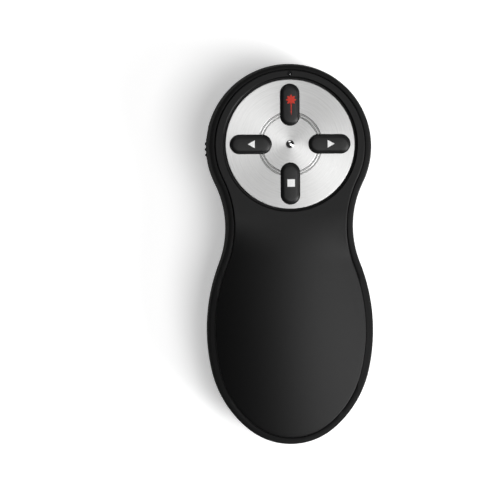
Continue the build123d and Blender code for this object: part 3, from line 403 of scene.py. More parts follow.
@dataclass(frozen=True)
class Finish:
    """One finish: its colour, gloss and the pattern in its surface.

    colour is linear; scale is in marks per metre; height is the relief in metres; centre is in metres.
    The marks are noise, and the values that all finishes share say how it is stretched and spread.
    """

    name: str
    colour: tuple[float, float, float]
    pattern: Pattern = Pattern.GRAIN
    metal: float = 0.0
    rough: float = 0.45
    rough_spread: float = 0.08
    tint_spread: float = 0.12
    scale: float = 4000.0
    height: float = 0.000008
    gloss: float = 0.5
    drawn: float = 0.0
    coat: float = 0.0
    centre: tuple[float, float] = (0.0, 0.0)

    marks_detail: ClassVar[float] = 4.0
    marks_rough: ClassVar[float] = 0.6
    marks_span: ClassVar[tuple[float, float]] = (0.3, 0.7)
    drawn_stretch: ClassVar[float] = 0.03
    turned_spread: ClassVar[float] = 1.6
    brush_turn: ClassVar[float] = 0.25
    coat_rough: ClassVar[float] = 0.15
    clear_share: ClassVar[float] = 0.9
    clear_index: ClassVar[float] = 1.49

    def build(self) -> bpy.types.Material:
        """The node material of this finish, made once.

        Returns:
            The material, named after the finish.
        """
        known = bpy.data.materials.get(self.name)
        if known is not None:
            return known
        material = bpy.data.materials.new(self.name)
        material.use_nodes = True
        wiring = Wiring(material.node_tree)
        marks = self.marks(wiring)
        wiring.feed(wiring.shader, {
            "Base Color": self.tint(wiring, marks),
            "Roughness": self.roughness(wiring, marks),
            "Normal": wiring.add("Bump", {"Distance": self.height, "Height": marks})["Normal"],
            "Metallic": self.metal,
            "Specular IOR Level": self.gloss,
            "Coat Weight": self.coat,
            "Coat Roughness": self.coat_rough,
        })
        if self.pattern is Pattern.CLEAR:
            wiring.feed(wiring.shader, {"Transmission Weight": self.clear_share, "IOR": self.clear_index})
        if self.drawn > 0:
            wiring.feed(wiring.shader, {
                "Anisotropic": self.drawn,
                "Anisotropic Rotation": self.brush_turn,
                "Tangent": wiring.add("Tangent", {}, direction_type="RADIAL", axis="Z")["Tangent"],
            })
        return material

    def marks(self, wiring: Wiring) -> bpy.types.NodeSocket:
        """Noise in the pattern's own coordinates; drawn marks are stretched along Y.

        Args:
            wiring: the material's nodes.

        Returns:
            An output from 0 to 1.
        """
        place = wiring.add("TexCoord", {})["Object"]
        if self.pattern is Pattern.TURNED:
            coordinates = self.turned_coordinates(wiring, place)
        else:
            along = self.drawn_stretch if self.pattern is Pattern.DRAWN else 1.0
            stretch = (self.scale, self.scale * along, self.scale)
            coordinates = wiring.add("Mapping", {"Vector": place, "Scale": stretch})["Vector"]
        return wiring.add("TexNoise", {
            "Vector": coordinates,
            "Scale": 1.0,
            "Detail": self.marks_detail,
            "Roughness": self.marks_rough,
        })["Fac"]

    def turned_coordinates(self, wiring: Wiring, place: bpy.types.NodeSocket) -> bpy.types.NodeSocket:
        """Coordinates that change fast with the radius and slowly round the circle.

        The flat part is the direction from the centre times a small factor, and the height is the
        radius times the scale.

        Args:
            wiring: the material's nodes.
            place: output with the point's own coordinates.

        Returns:
            The coordinates' output.
        """
        shift = (-self.centre[0], -self.centre[1], 0.0)
        moved = wiring.add("Mapping", {"Vector": place, "Location": shift})["Vector"]
        flat = wiring.add("VectorMath", {0: moved, 1: (1.0, 1.0, 0.0)}, operation="MULTIPLY")["Vector"]
        length = wiring.add("VectorMath", {0: flat}, operation="LENGTH")["Value"]
        unit = wiring.add("VectorMath", {0: flat}, operation="NORMALIZE")["Vector"]
        wide = {0: unit, "Scale": self.turned_spread}
        spread = wiring.add("VectorMath", wide, operation="SCALE")["Vector"]
        depth = wiring.add("Math", {0: length, 1: self.scale}, operation="MULTIPLY")["Value"]
        upright = wiring.add("CombineXYZ", {"Z": depth})["Vector"]
        return wiring.add("VectorMath", {0: spread, 1: upright}, operation="ADD")["Vector"]

    def tint(self, wiring: Wiring, marks: bpy.types.NodeSocket) -> bpy.types.NodeSocket:
        """Colour that rises with the marks, from the finish's own less a share tint_spread to as much more.

        Args:
            wiring: the material's nodes.
            marks: output of the marks.

        Returns:
            The colour's output.
        """
        blend = wiring.add("ValToRGB", {"Fac": marks})["Color"]
        for stop, position, sign in zip(blend.node.color_ramp.elements, self.marks_span, (-1, 1)):
            tinted = (c * (1 + sign * self.tint_spread) for c in self.colour)
            stop.position = position
            stop.color = (*(min(1.0, max(0.0, c)) for c in tinted), 1.0)
        return blend

    def roughness(self, wiring: Wiring, marks: bpy.types.NodeSocket) -> bpy.types.NodeSocket:
        """Roughness that rises with the marks, from rough less rough_spread to as much more.

        Args:
            wiring: the material's nodes.
            marks: output of the marks.

        Returns:
            The roughness's output.
        """
        low, high = self.marks_span
        return wiring.add("MapRange", {
            "Value": marks,
            "From Min": low,
            "From Max": high,
            "To Min": self.rough - self.rough_spread,
            "To Max": self.rough + self.rough_spread,
        })["Result"]


def place_piece(piece: bpy.types.Object, body: str, finish: Finish) -> None:
    """Dress a new piece, let it ride on its body and report it.

    Args:
        piece: the piece.
        body: body that it rides on.
        finish: finish that it gets.
    """
    piece.data.materials.clear()
    piece.data.materials.append(finish.build())
    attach(piece, body)
    LOG.info("%s: %d faces, rides on %s", piece.name, len(piece.data.polygons), body)


DISC_LOW, DISC_HIGH = node_box("control_disc")
DISC_CENTRE = tuple(((DISC_LOW + DISC_HIGH) / 2)[:2])

SOFT_BLACK = Finish("soft_black_cover", (0.0012, 0.0012, 0.0013), rough=0.46, rough_spread=0.05, gloss=0.2,
                    scale=9000.0, height=0.000004)
CASE_BLACK = Finish("satin_black_casing", (0.0125, 0.0125, 0.0126), rough=0.85, rough_spread=0.05,
                    gloss=0.04, scale=6000.0, height=0.000005)
KEY_BLACK = Finish("satin_black_key", (0.0085, 0.0085, 0.0086), rough=0.42, rough_spread=0.04, gloss=0.25,
                   scale=9000.0, height=0.000003)
CAP_BLACK = Finish("cap_black", (0.0045, 0.0045, 0.005), rough=0.45, rough_spread=0.05, gloss=0.2,
                   scale=5000.0)
SPUN_METAL = Finish("spun_disc_metal", (0.50, 0.50, 0.497), Pattern.TURNED, metal=1.0, rough=0.46,
                    rough_spread=0.12, tint_spread=0.15, scale=2600.0, height=0.0000035, drawn=0.42,
                    centre=(DISC_CENTRE[0] * MM, DISC_CENTRE[1] * MM))
BRIGHT_METAL = Finish("polished_metal", (0.80, 0.80, 0.80), metal=1.0, rough=0.07, rough_spread=0.02,
                      tint_spread=0.02, scale=1500.0, height=0.0000005)
PRINT_WHITE = Finish("white_print", (0.80, 0.80, 0.80), rough=0.6, scale=9000.0, height=0.000002)
PRINT_RED = Finish("red_print", (0.48, 0.032, 0.018), rough=0.6, gloss=0.2, scale=9000.0, height=0.000002)
BOARD_GREEN = Finish("board_mask", (0.02, 0.09, 0.035), rough=0.35, scale=900.0, coat=0.3)
BOARD_RED = Finish("red_board_mask", (0.25, 0.02, 0.02), rough=0.35, scale=900.0, coat=0.3)
RESIN = Finish("chip_resin", (0.012, 0.012, 0.013), rough=0.6, scale=2500.0)
NICKEL = Finish("nickel_plate", (0.66, 0.64, 0.60), Pattern.DRAWN, metal=1.0, rough=0.28, scale=3000.0,
                height=0.000001)
GOLD = Finish("gold_plate", (0.83, 0.60, 0.25), metal=1.0, rough=0.25, scale=3000.0, height=0.000001)
BRASS = Finish("brass_sleeve", (0.72, 0.52, 0.24), Pattern.DRAWN, metal=1.0, rough=0.3, scale=3000.0,
               height=0.000002)
STEEL = Finish("screw_steel", (0.36, 0.36, 0.37), metal=1.0, rough=0.33, scale=2500.0, height=0.000002)
PLUG_STEEL = Finish("plug_steel", (0.74, 0.72, 0.69), Pattern.DRAWN, metal=1.0, rough=0.24, scale=2500.0,
                    height=0.000001)
LAMP_WHITE = Finish("lamp_white", (0.80, 0.80, 0.76), rough=0.4, scale=2500.0)
MILK_WHITE = Finish("plug_plastic", (0.78, 0.78, 0.76), rough=0.45, scale=2500.0)
SMOKE = Finish("smoked_clear", (0.10, 0.10, 0.11), Pattern.CLEAR, rough=0.08, rough_spread=0.02,
               scale=900.0, height=0.0000005)
LENS = Finish("lens_glass", (0.92, 0.94, 0.95), Pattern.CLEAR, rough=0.02, rough_spread=0.01, scale=900.0,
              height=0.0000002)
CELL_WRAP = Finish("cell_wrap", (0.035, 0.055, 0.10), Pattern.DRAWN, metal=0.3, rough=0.35, scale=1500.0,
                   coat=0.4)
FILM = Finish("adhesive_film", (0.70, 0.68, 0.60), rough=0.7, scale=1500.0)
SWITCH = Finish("switch_housing", (0.05, 0.05, 0.055), rough=0.5, scale=2500.0)
PLUNGER = Finish("plunger_plastic", (0.55, 0.10, 0.06), rough=0.5, scale=2500.0)


# ---------------------------------------------------------------- outline of the casing
@dataclass(frozen=True)
class Outline:
    """The hourglass outline: head arc, hollow waist arc, tail side arc, shoulder arc and tip arc.

    steps are the points on each arc of one half, in that order.
    """

    body_length: float = 108.3
    head_radius: float = 23.55
    waist_half_width: float = 18.19
    tail_half_width: float = 23.70
    tail_widest_from_end: float = 32.68
    tail_tip_radius: float = 19.05
    tail_fullness: float = 1.261
    shoulder_share: float = 0.343
    steps: tuple[int, ...] = (72, 36, 30, 28, 14)

    def tail_radii(self) -> tuple[float, float]:
        """Side and shoulder radius of the tail.

        The side arc is fuller, by tail_fullness, than the one arc that would meet the tip arc directly.

        Returns:
            The two radii.
        """
        reach = self.tail_widest_from_end - self.tail_tip_radius
        spread = self.tail_half_width**2 - self.tail_tip_radius**2
        direct = (reach**2 + spread) / (2 * (self.tail_half_width - self.tail_tip_radius))
        side = self.tail_fullness * direct
        return side, self.tail_tip_radius + self.shoulder_share * (side - self.tail_tip_radius)

    @staticmethod
    def towards(start: Array, end: Array, distance: Array) -> Array:
        """Points at a distance from start on the lines to end."""
        line = end - start
        return start + line * (distance / np.linalg.norm(line, axis=-1))[..., None]

    @staticmethod
    def waist_arc(head: Array, head_radius: Array, side: Array, side_radius: Array,
                  half: Array) -> tuple[Array, Array]:
        """Centre and radius of the hollow arc that touches the head and side arcs.

        Its centre is half + radius out, so each tangency gives the radius as a quadratic in the
        centre's height; the two are equal at y = 2c / (-b + sqrt(b^2 - 4ac)).

        Args:
            head: centres of the head arcs.
            head_radius: their radii.
            side: centres of the tail's side arcs.
            side_radius: their radii.
            half: half width of the waist.

        Returns:
            The centres and the radii.
        """
        depth = half - side[..., 0]
        a1 = 1 / (2 * (head_radius - half))
        b1 = 1 / (2 * (side_radius - depth))
        a = a1 - b1
        b = -2 * a1 * head[..., 1] + 2 * b1 * side[..., 1]
        c = a1 * (head[..., 1]**2 + half**2 - head_radius**2)
        c = c - b1 * (side[..., 1]**2 + depth**2 - side_radius**2)
        y = 2 * c / (-b + np.sqrt(b * b - 4 * a * c))
        radius = a1 * (half**2 - head_radius**2 + (head[..., 1] - y)**2)
        return np.stack([half + radius, y], axis=-1), radius

    @staticmethod
    def shoulder_centre(side: Array, side_gap: Array, tip: Array, tip_gap: Array) -> Array:
        """Centres of the shoulder arcs, where two circles round the neighbours' centres meet.

        Args:
            side: centres of the tail's side arcs.
            side_gap: distance from them.
            tip: centres of the tip arcs.
            tip_gap: distance from them.

        Returns:
            The meeting points on the outer side.
        """
        line = tip - side
        span = np.linalg.norm(line, axis=-1)
        along = (side_gap**2 - tip_gap**2 + span**2) / (2 * span)
        off = np.sqrt(side_gap**2 - along**2)
        unit = line / span[..., None]
        across = np.stack([-unit[..., 1], unit[..., 0]], axis=-1)
        return side + unit * along[..., None] + across * off[..., None]

    def arcs(self, side_inset: Array,
             end_inset: Array) -> tuple[list[tuple[Array, Array, int]], list[Array]]:
        """The right half's arcs, drawn in from the widest outline.

        Args:
            side_inset: inset of each ring's sides.
            end_inset: inset of each ring's two ends.

        Returns:
            Centres, radii and 1 for a bulge or -1 for a hollow, for each arc; and the points where
            the arcs start and end, one list more.
        """
        zero = np.zeros_like(side_inset)
        head_end, tail_end = self.body_length / 2 - end_inset, end_inset - self.body_length / 2
        side_radius, shoulder_radius = self.tail_radii()
        r_head = self.head_radius - side_inset
        r_side = side_radius - side_inset
        r_shoulder = shoulder_radius - side_inset
        r_tip = self.tail_tip_radius - side_inset
        head = np.stack([zero, head_end - r_head], axis=-1)
        tip = np.stack([zero, tail_end + r_tip], axis=-1)
        widest_y = self.tail_widest_from_end - self.body_length / 2
        side = np.stack([zero + self.tail_half_width - side_radius, zero + widest_y], axis=-1)
        waist, r_waist = self.waist_arc(head, r_head, side, r_side, self.waist_half_width - side_inset)
        shoulder = self.shoulder_centre(side, r_side - r_shoulder, tip, r_shoulder - r_tip)
        arcs = [
            (head, r_head, 1),
            (waist, r_waist, -1),
            (side, r_side, 1),
            (shoulder, r_shoulder, 1),
            (tip, r_tip, 1),
        ]
        corners = [
            np.stack([zero, head_end], axis=-1),
            self.towards(head, waist, r_head),
            self.towards(side, waist, r_side),
            self.towards(side, shoulder, r_side),
            self.towards(shoulder, tip, r_shoulder),
            np.stack([zero, tail_end], axis=-1),
        ]
        return arcs, corners

    def rings(self, side_inset: Array, end_inset: Array) -> tuple[Array, Array]:
        """Outlines drawn in from the widest one, and their inward normals.

        Each arc is sampled evenly in angle from its start to its end; the left half mirrors the right.

        Args:
            side_inset: inset of each ring's sides.
            end_inset: inset of each ring's two ends.

        Returns:
            Points and inward normals with shape (rings, around, 2), clockwise from the head's end.
        """
        arcs, corners = self.arcs(side_inset, end_inset)
        points, normals = [], []
        for (centre, radius, bulge), start, end, count in zip(arcs, corners, corners[1:], self.steps):
            first = np.arctan2(start[:, 1] - centre[:, 1], start[:, 0] - centre[:, 0])
            last = np.arctan2(end[:, 1] - centre[:, 1], end[:, 0] - centre[:, 0])
            sweep = (last - first + np.pi) % (2 * np.pi) - np.pi
            angle = first[:, None] + sweep[:, None] * np.arange(count) / count
            spoke = np.stack([np.cos(angle), np.sin(angle)], axis=-1)
            points.append(centre[:, None] + spoke * radius[:, None, None])
            normals.append(-bulge * spoke)
        zero = np.zeros_like(side_inset)
        points.append(corners[-1][:, None])
        normals.append(np.stack([zero, zero + 1], axis=-1)[:, None])
        right, inward = np.concatenate(points, axis=1), np.concatenate(normals, axis=1)
        flip = np.array([-1.0, 1.0])
        return (np.concatenate([right, right[:, -2:0:-1] * flip], axis=1),
                np.concatenate([inward, inward[:, -2:0:-1] * flip], axis=1))


@dataclass(frozen=True)
class Section:
    """Insets of the parting line inside the widest outline, and the wall that stands along it."""

    groove_side: float = 2.2
    groove_end: float = 2.0
    parting_gap: float = 0.1
    ledge_z: float = 13.4
    cover_wall: float = 1.5

    def cover_insets(self, extra: float = 0.0) -> tuple[Array, Array]:
        """Side and end inset of the cover's upright side, and further in by extra."""
        grown = self.parting_gap + extra
        return np.array([self.groove_side + grown]), np.array([self.groove_end + grown])


# ---------------------------------------------------------------- keys and their signs
class Icon(Enum):
    """Function signs printed on the keys."""

    BURST = "laser burst"
    LEFT = "triangle to the left"
    RIGHT = "triangle to the right"
    SQUARE = "square"


@dataclass(frozen=True)
class Signs:
    """Sizes of the printed signs and their places about a key's centre, +Y towards the head."""

    burst_centre: tuple[float, float] = (0.34, 1.34)
    burst_radius: float = 1.52
    burst_swing: float = 0.64
    burst_rays: int = 8
    burst_steps: int = 64
    beam: tuple[tuple[float, float], ...] = (
        (0.19, 0.35), (0.25, -2.2), (0.36, -3.1), (0.47, -2.2), (0.53, 0.35))
    square_low: tuple[float, float] = (-0.87, -0.93)
    square_high: tuple[float, float] = (1.25, 1.18)
    triangle_x: float = 0.28
    triangle_tip: float = 1.13
    triangle_base: float = 0.83
    triangle_half: float = 1.1
    side_steps: int = 6

    def polygon(self, corners: tuple[tuple[float, float], ...]) -> Array:
        """Points spread evenly along the sides of a closed polygon.

        Args:
            corners: its corners in order.

        Returns:
            The points, one row each.
        """
        start = np.array(corners, float)
        end = np.roll(start, -1, axis=0)
        share = np.arange(self.side_steps)[None, :, None] / self.side_steps
        return (start[:, None] + (end - start)[:, None] * share).reshape(-1, 2)

    def burst(self) -> Array:
        """The burst: a circle whose radius swings evenly between two values, once for each ray.

        Returns:
            The points, one row each.
        """
        angle = np.linspace(0, 2 * np.pi, self.burst_steps, endpoint=False)
        swing = np.abs((angle * self.burst_rays / (2 * np.pi) + 0.5) % 1 - 0.5) * 2
        radius = self.burst_radius - self.burst_swing * swing
        x, y = self.burst_centre
        return np.stack([x + radius * np.sin(angle), y + radius * np.cos(angle)], axis=-1)

    def triangle(self, way: float) -> Array:
        """The triangle, its tip to the right for a way of 1 and to the left for -1."""
        base, tip = self.triangle_x - way * self.triangle_base, self.triangle_x + way * self.triangle_tip
        return self.polygon(((tip, 0.0), (base, self.triangle_half), (base, -self.triangle_half)))

    def square(self) -> Array:
        """The square."""
        (x0, y0), (x1, y1) = self.square_low, self.square_high
        return self.polygon(((x0, y0), (x1, y0), (x1, y1), (x0, y1)))

    def outlines(self, icon: Icon) -> list[Array]:
        """The outlines that make up one sign.

        Args:
            icon: the sign.

        Returns:
            One outline, or the burst and the narrow beam below it.
        """
        if icon is Icon.BURST:
            return [self.burst(), self.polygon(self.beam)]
        if icon is Icon.SQUARE:
            return [self.square()]
        return [self.triangle(-1.0 if icon is Icon.LEFT else 1.0)]


@dataclass(frozen=True)
class PressKey:
    """One press key: a round-ended cap with a soft edge and a low dome, on its hidden flange."""

    name: str
    icon: Icon
    signs: Signs = Signs()
    flange: float = 1.0
    overhang: float = 1.0
    shoulder: float = 0.95
    dome: float = 0.16
    print_height: float = 0.02
    foot_share: float = 0.2
    foot_hold: float = 0.05
    around_steps: int = 20
    arc_steps: int = 12
    print_steps: int = 8
    print_pole: float = 0.02
    sharp: float = 40.0

    def box(self) -> tuple[Array, Array]:
        """The construction node's corners."""
        return node_box(f"{self.name}_key")

    def place(self) -> Place:
        """Centre of the key and the turn of its long side.

        Returns:
            x, y and the turn in degrees.
        """
        low, high = self.box()
        size = high - low
        return (low[0] + high[0]) / 2, (low[1] + high[1]) / 2, 90.0 if size[1] > size[0] else 0.0

    def size(self, gap: float = 0.0) -> tuple[float, float]:
        """Length and width of the cap.

        Args:
            gap: how much it is grown on every side.

        Returns:
            The two sizes.
        """
        low, high = self.box()
        grown = sorted((high - low)[:2], reverse=True)
        return grown[0] - 2 * self.overhang + 2 * gap, grown[1] - 2 * self.overhang + 2 * gap

    def top_height(self, inset: Array) -> Array:
        """Height of the cap: a quarter circle up its shoulder, then a low parabola to the middle.

        Args:
            inset: distances in from the cap's outline.

        Returns:
            The heights there.
        """
        _, high = self.box()
        half = self.size()[1] / 2
        drop = self.dome * (1 - np.clip(inset / half, 0, 1))**2
        round_off = np.clip(1 - inset / self.shoulder, 0, 1)
        return high[2] - drop - self.shoulder * (1 - np.sqrt(1 - round_off**2))

    def surface_z(self, flat: Array) -> Array:
        """Height of the cap at flat points, by their distance from its middle line.

        Args:
            flat: points in the key's own axes.

        Returns:
            The heights there.
        """
        length, width = self.size()
        near = np.clip(flat[..., 0], -(length - width) / 2, (length - width) / 2)
        away = np.hypot(flat[..., 0] - near, flat[..., 1])
        return self.top_height(width / 2 - away)

    def rings(self) -> Array:
        """Rings of the cap: under the flange, round it, up the cap's side and in over the top.

        Returns:
            Points with shape (rings, around, 3).
        """
        bottom = self.box()[0][2]
        length, width = self.size()
        turn = np.linspace(0, np.pi / 2, self.arc_steps)
        shoulder = self.shoulder * (1 - np.cos(turn))
        dome = self.shoulder + (width / 2 - self.shoulder) * np.linspace(0, 1, self.arc_steps)[1:]
        inset = np.concatenate([shoulder, dome])
        flange_z = bottom + self.flange
        foot = np.array([-self.overhang * self.foot_share, -self.overhang, -self.overhang, 0.0, 0.0])
        foot_z = np.array([bottom, bottom, flange_z, flange_z, flange_z + self.foot_hold])
        flat = stadium(length, width, np.concatenate([foot, inset]), self.around_steps)
        height = np.concatenate([foot_z, self.top_height(inset)])
        return raised(turned(flat, self.place()), height[:, None])

    def build(self) -> None:
        """Make the cap with its flange and the printed sign on it."""
        cap = mesh_object(f"{self.name}_key_cap", *capped(self.rings()), sharp=self.sharp)
        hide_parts(f"{self.name}_key")
        place_piece(cap, f"{self.name}_button", KEY_BLACK)
        finish = PRINT_RED if self.icon is Icon.BURST else PRINT_WHITE
        for number, outline in enumerate(self.signs.outlines(self.icon), start=1):
            sign = self.layer(f"{self.name}_print_{number}", outline)
            place_piece(sign, f"{self.name}_button", finish)

    def layer(self, name: str, outline: Array) -> bpy.types.Object:
        """A thin layer inside a star-shaped outline: rings shrink to its middle and follow the cap.

        Three rings grow from the middle under the cap's surface, and the others come back above it.

        Args:
            name: name of the piece.
            outline: points round the sign, relative to the key's centre, +Y towards the head.

        Returns:
            The closed layer.
        """
        x, y, degrees = self.place()
        middle = outline.mean(axis=0)
        under = np.array([self.print_pole, 0.5, 1.0])
        over = np.linspace(1.0, self.print_pole, self.print_steps)
        share = np.concatenate([under, over])[:, None, None]
        lift = np.concatenate([-np.ones(len(under)), np.ones(len(over))])[:, None] * self.print_height
        flat = middle + (outline - middle) * share
        height = self.surface_z(turned(flat, (0.0, 0.0, -degrees))) + lift
        return mesh_object(name, *capped(raised(flat + np.array([x, y]), height)))


KEYS = (
    PressKey("laser", Icon.BURST),
    PressKey("back", Icon.LEFT),
    PressKey("forward", Icon.RIGHT),
    PressKey("blank", Icon.SQUARE),
)


def key_cutters(use: str, gap: float, heights: tuple[float, float]) -> list[bpy.types.Object]:
    """Cutting tools for the keys' openings, each wider than its cap by a gap on every side."""
    return [oblong_cutter(f"{key.name}_{use}", key.place(), key.size(gap), heights) for key in KEYS]


# ---------------------------------------------------------------- upper cover and light rod
@dataclass
class UpperCover:
    """The crowned upper cover: rounded sides, crown, recess for the disc and the plate under it.

    The plate reaches web_overlap past the wall round the recess, but stays rim_clear inside the side.
    Where the side is less than rim_margin past the plate's rim, the roof keeps the plate's level.
    key_cut is how far the keys' cutting tools reach below and above the recess floor.
    """

    outline: Outline
    section: Section
    wall: float = 1.6
    fillet: float = 0.4
    crown_length_radius: float = 420.0
    crown_cross_radius: float = 64.0
    crown_blend: float = 14.0
    slope_step: float = 0.1
    disc_gap: float = 0.60
    chamfer: float = 0.3
    chamfer_round: float = 0.08
    chamfer_clear: float = 0.25
    rim_round_share: float = 0.9
    floor_round: float = 0.1
    web: float = 1.2
    web_overlap: float = 0.5
    rim_clear: float = 0.05
    rim_margin: float = 0.1
    pole_radius: float = 0.4
    plate_radii: tuple[float, float] = (8.0, 15.0)
    key_gap: float = 0.2
    key_cut: tuple[float, float] = (3.0, 0.5)
    stem_gap: float = 0.05
    boss_radius: float = 2.4
    pilot_radius: float = 1.125
    pilot_depth: float = 3.1
    tail_boss_z: float = 11.5
    screw_head: float = 2.0
    side_steps: int = 8
    edge_steps: int = 9
    crown_steps: int = 56
    roof_steps: int = 30
    skirt_steps: int = 6
    sharp: float = 32.0
    body: str = "housing"
    top_z: float = field(init=False)
    floor_z: float = field(init=False)
    centre: Array = field(init=False)
    recess_radius: float = field(init=False)

    def __post_init__(self) -> None:
        """Take the head's level, the recess floor and the disc's place from the construction."""
        disc_low, disc_high = node_box("control_disc")
        film_low, _ = node_box("disc_adhesive")
        _, cover_high = node_box("top_cover")
        self.top_z = cover_high[2]
        self.floor_z = film_low[2]
        self.centre = (disc_low + disc_high)[:2] / 2
        self.recess_radius = (disc_high[0] - disc_low[0]) / 2 + self.disc_gap

    def crown_z(self, x: Array, y: Array) -> Array:
        """Height of the crown: flat at the head, then y^2 / 2R down to the tail and x^2 / 2R to the sides.

        The fall to the sides comes in smoothly over crown_blend.

        Args:
            x: places across.
            y: places along.

        Returns:
            The heights there.
        """
        start = self.centre[1] - self.recess_radius - self.chamfer - self.chamfer_clear
        back = np.maximum(0.0, start - y)
        share = np.minimum(back / self.crown_blend, 1.0)
        cross = share * share * (3 - 2 * share)
        along = back**2 / (2 * self.crown_length_radius)
        return self.top_z - along - cross * x**2 / (2 * self.crown_cross_radius)

    def edge(self, base: Array, inward: Array) -> tuple[Array, Array]:
        """The ball that rolls between the upright side and the crown.

        Its centre is one radius in from the side and one radius below the sloping crown.

        Args:
            base: points on the side, one row each.
            inward: inward normals at those points.

        Returns:
            Height of the centre and slope of the crown, one value per point.
        """
        here = base + inward * self.fillet
        ahead = here + inward * self.slope_step
        height = self.crown_z(here[:, 0], here[:, 1])
        slope = np.arctan((self.crown_z(ahead[:, 0], ahead[:, 1]) - height) / self.slope_step)
        return height - self.fillet / np.cos(slope), slope

    def recess(self) -> Array:
        """Half section of the disc's recess: chamfered rim, wall and floor.

        Returns:
            Rows of radius and height.
        """
        rim = self.recess_radius + self.chamfer
        corners = [(rim + self.chamfer_round, self.top_z), (rim, self.top_z),
                   (self.recess_radius, self.top_z - self.chamfer), (self.recess_radius, self.floor_z),
                   (self.pole_radius, self.floor_z)]
        radii = [self.chamfer_round * self.rim_round_share, self.chamfer_round, self.floor_round]
        return rounded_profile(corners, radii)

    def outside(self) -> Array:
        """Rings of the outside, from the skirt's foot over the edge and the crown to the recess floor.

        The edge follows its ball, and each point of the crown lies on the line from the edge to the
        disc's centre.

        Returns:
            Points with shape (rings, around, 3).
        """
        base, inward = (part[0] for part in self.outline.rings(*self.section.cover_insets()))
        centre_z, slope = self.edge(base, inward)
        foot_z = self.section.ledge_z
        side_z = foot_z + (centre_z - foot_z) * np.linspace(0, 1, self.side_steps)[:, None]
        side = self.offset(base, inward, np.zeros_like(side_z), side_z)
        turn = (np.pi / 2 - slope) * np.linspace(0, 1, self.edge_steps)[1:, None]
        inset = self.fillet * (1 - np.cos(turn))
        edge = self.offset(base, inward, inset, centre_z + self.fillet * np.sin(turn))
        spoke = edge[-1, :, :2] - self.centre
        reach = np.linalg.norm(spoke, axis=-1, keepdims=True)
        rim = self.recess_radius + self.chamfer + self.chamfer_round
        run = np.linspace(0, 1, self.crown_steps)[1:, None, None]
        flat = self.centre + spoke / reach * (reach + (rim - reach) * run)
        crown = raised(flat, self.crown_z(flat[..., 0], flat[..., 1]))
        return np.concatenate([side, edge, crown, self.circles(spoke / reach, self.recess()[1:])])

    def inside(self) -> Array:
        """Rings of the inside, from the middle of the plate under the disc to the skirt's foot.

        Past the plate's rim the roof runs a wall below the crown; where the side is nearer than the
        rim, the plate goes on to the side.

        Returns:
            Points with shape (rings, around, 3).
        """
        section = self.section
        base, inward = (part[0] for part in self.outline.rings(*section.cover_insets(section.cover_wall)))
        spoke = base - self.centre
        reach = np.linalg.norm(spoke, axis=-1, keepdims=True)
        plate_rim = self.recess_radius + section.cover_wall + self.web_overlap
        rim = np.minimum(plate_rim, reach - self.rim_clear)
        plate_z = self.floor_z - self.web
        radii = (self.pole_radius, *self.plate_radii)
        plate = self.circles(spoke / reach, np.array([(radius, plate_z) for radius in radii]))
        foot = raised(self.centre + spoke / reach * rim, plate_z)[None]
        run = np.linspace(0, 1, self.roof_steps)[:, None, None]
        under = self.centre + spoke / reach * (rim + (reach - rim) * run)
        crown = self.crown_z(under[..., 0], under[..., 1]) - self.wall
        roof = raised(under, np.where(reach[:, 0] < plate_rim + self.rim_margin, plate_z, crown))
        drop = section.ledge_z - roof[-1, :, 2]
        side_z = roof[-1, :, 2] + drop * np.linspace(0, 1, self.skirt_steps)[1:, None]
        return np.concatenate([plate, foot, roof, self.offset(base, inward, np.zeros_like(side_z), side_z)])

    @staticmethod
    def offset(base: Array, inward: Array, inset: Array, z: Array) -> Array:
        """Rings at given insets along the normals and at given heights."""
        return raised(base + inward * inset[..., None], z)

    def circles(self, spoke: Array, profile: Array) -> Array:
        """Rings round the disc's centre along given directions, from rows of radius and height."""
        return raised(self.centre + spoke * profile[:, None, :1], profile[:, 1:])

    def bosses(self) -> list[bpy.types.Object]:
        """The four bosses for the casing's screws, each with its blind pilot hole.

        The screws' places come from their box; a head screw lies at 45 degrees from the disc's centre.

        Returns:
            The bosses, closed.
        """
        low, high = node_box("case_screws")
        board_z = node_box("main_pcb")[1][2]
        head_y = high[1] - self.screw_head
        head = (head_y - self.centre[1], head_y, board_z, self.floor_z - self.web / 2)
        tail_x, tail_y = high[0] - self.screw_head, low[1] + self.screw_head
        tail_top = float(self.crown_z(np.array(tail_x), np.array(tail_y))) - self.wall / 2
        tail = (tail_x, tail_y, self.tail_boss_z, tail_top)
        made = []
        for x, y, foot, top in (head, tail):
            end = foot + self.pilot_depth
            profile = np.array([(AXIS_RADIUS, end), (self.pilot_radius, end), (self.pilot_radius, foot),
                                (self.boss_radius, foot), (self.boss_radius, top), (AXIS_RADIUS, top)])
            made += [lathe(f"boss_{side}_{y:.0f}", profile, (side * x, y)) for side in (-1, 1)]
        return made

    def hole_tools(self, rod: "LightRod") -> list[bpy.types.Object]:
        """Cutting tools for the keys' holes, the hole for the stud's stem and the one for the light rod.

        Args:
            rod: the light rod.

        Returns:
            The tools, closed.
        """
        below, above = self.key_cut
        tools = key_cutters("hole", self.key_gap, (self.floor_z - below, self.floor_z + above))
        stud_low, stud_high = node_box("centre_stud")
        stem = (stud_high[0] - stud_low[0]) / 2 * STEM_SHARE + self.stem_gap
        foot = stud_low[2] - TOOL_REACH
        bore = np.array([(AXIS_RADIUS, foot), (stem, foot), (stem, self.top_z), (AXIS_RADIUS, self.top_z)])
        tools.append(lathe("stud_hole", bore, tuple(self.centre)))
        tools.append(rod.shape("light_hole", rod.clearance, self.top_z + TOOL_REACH))
        return tools

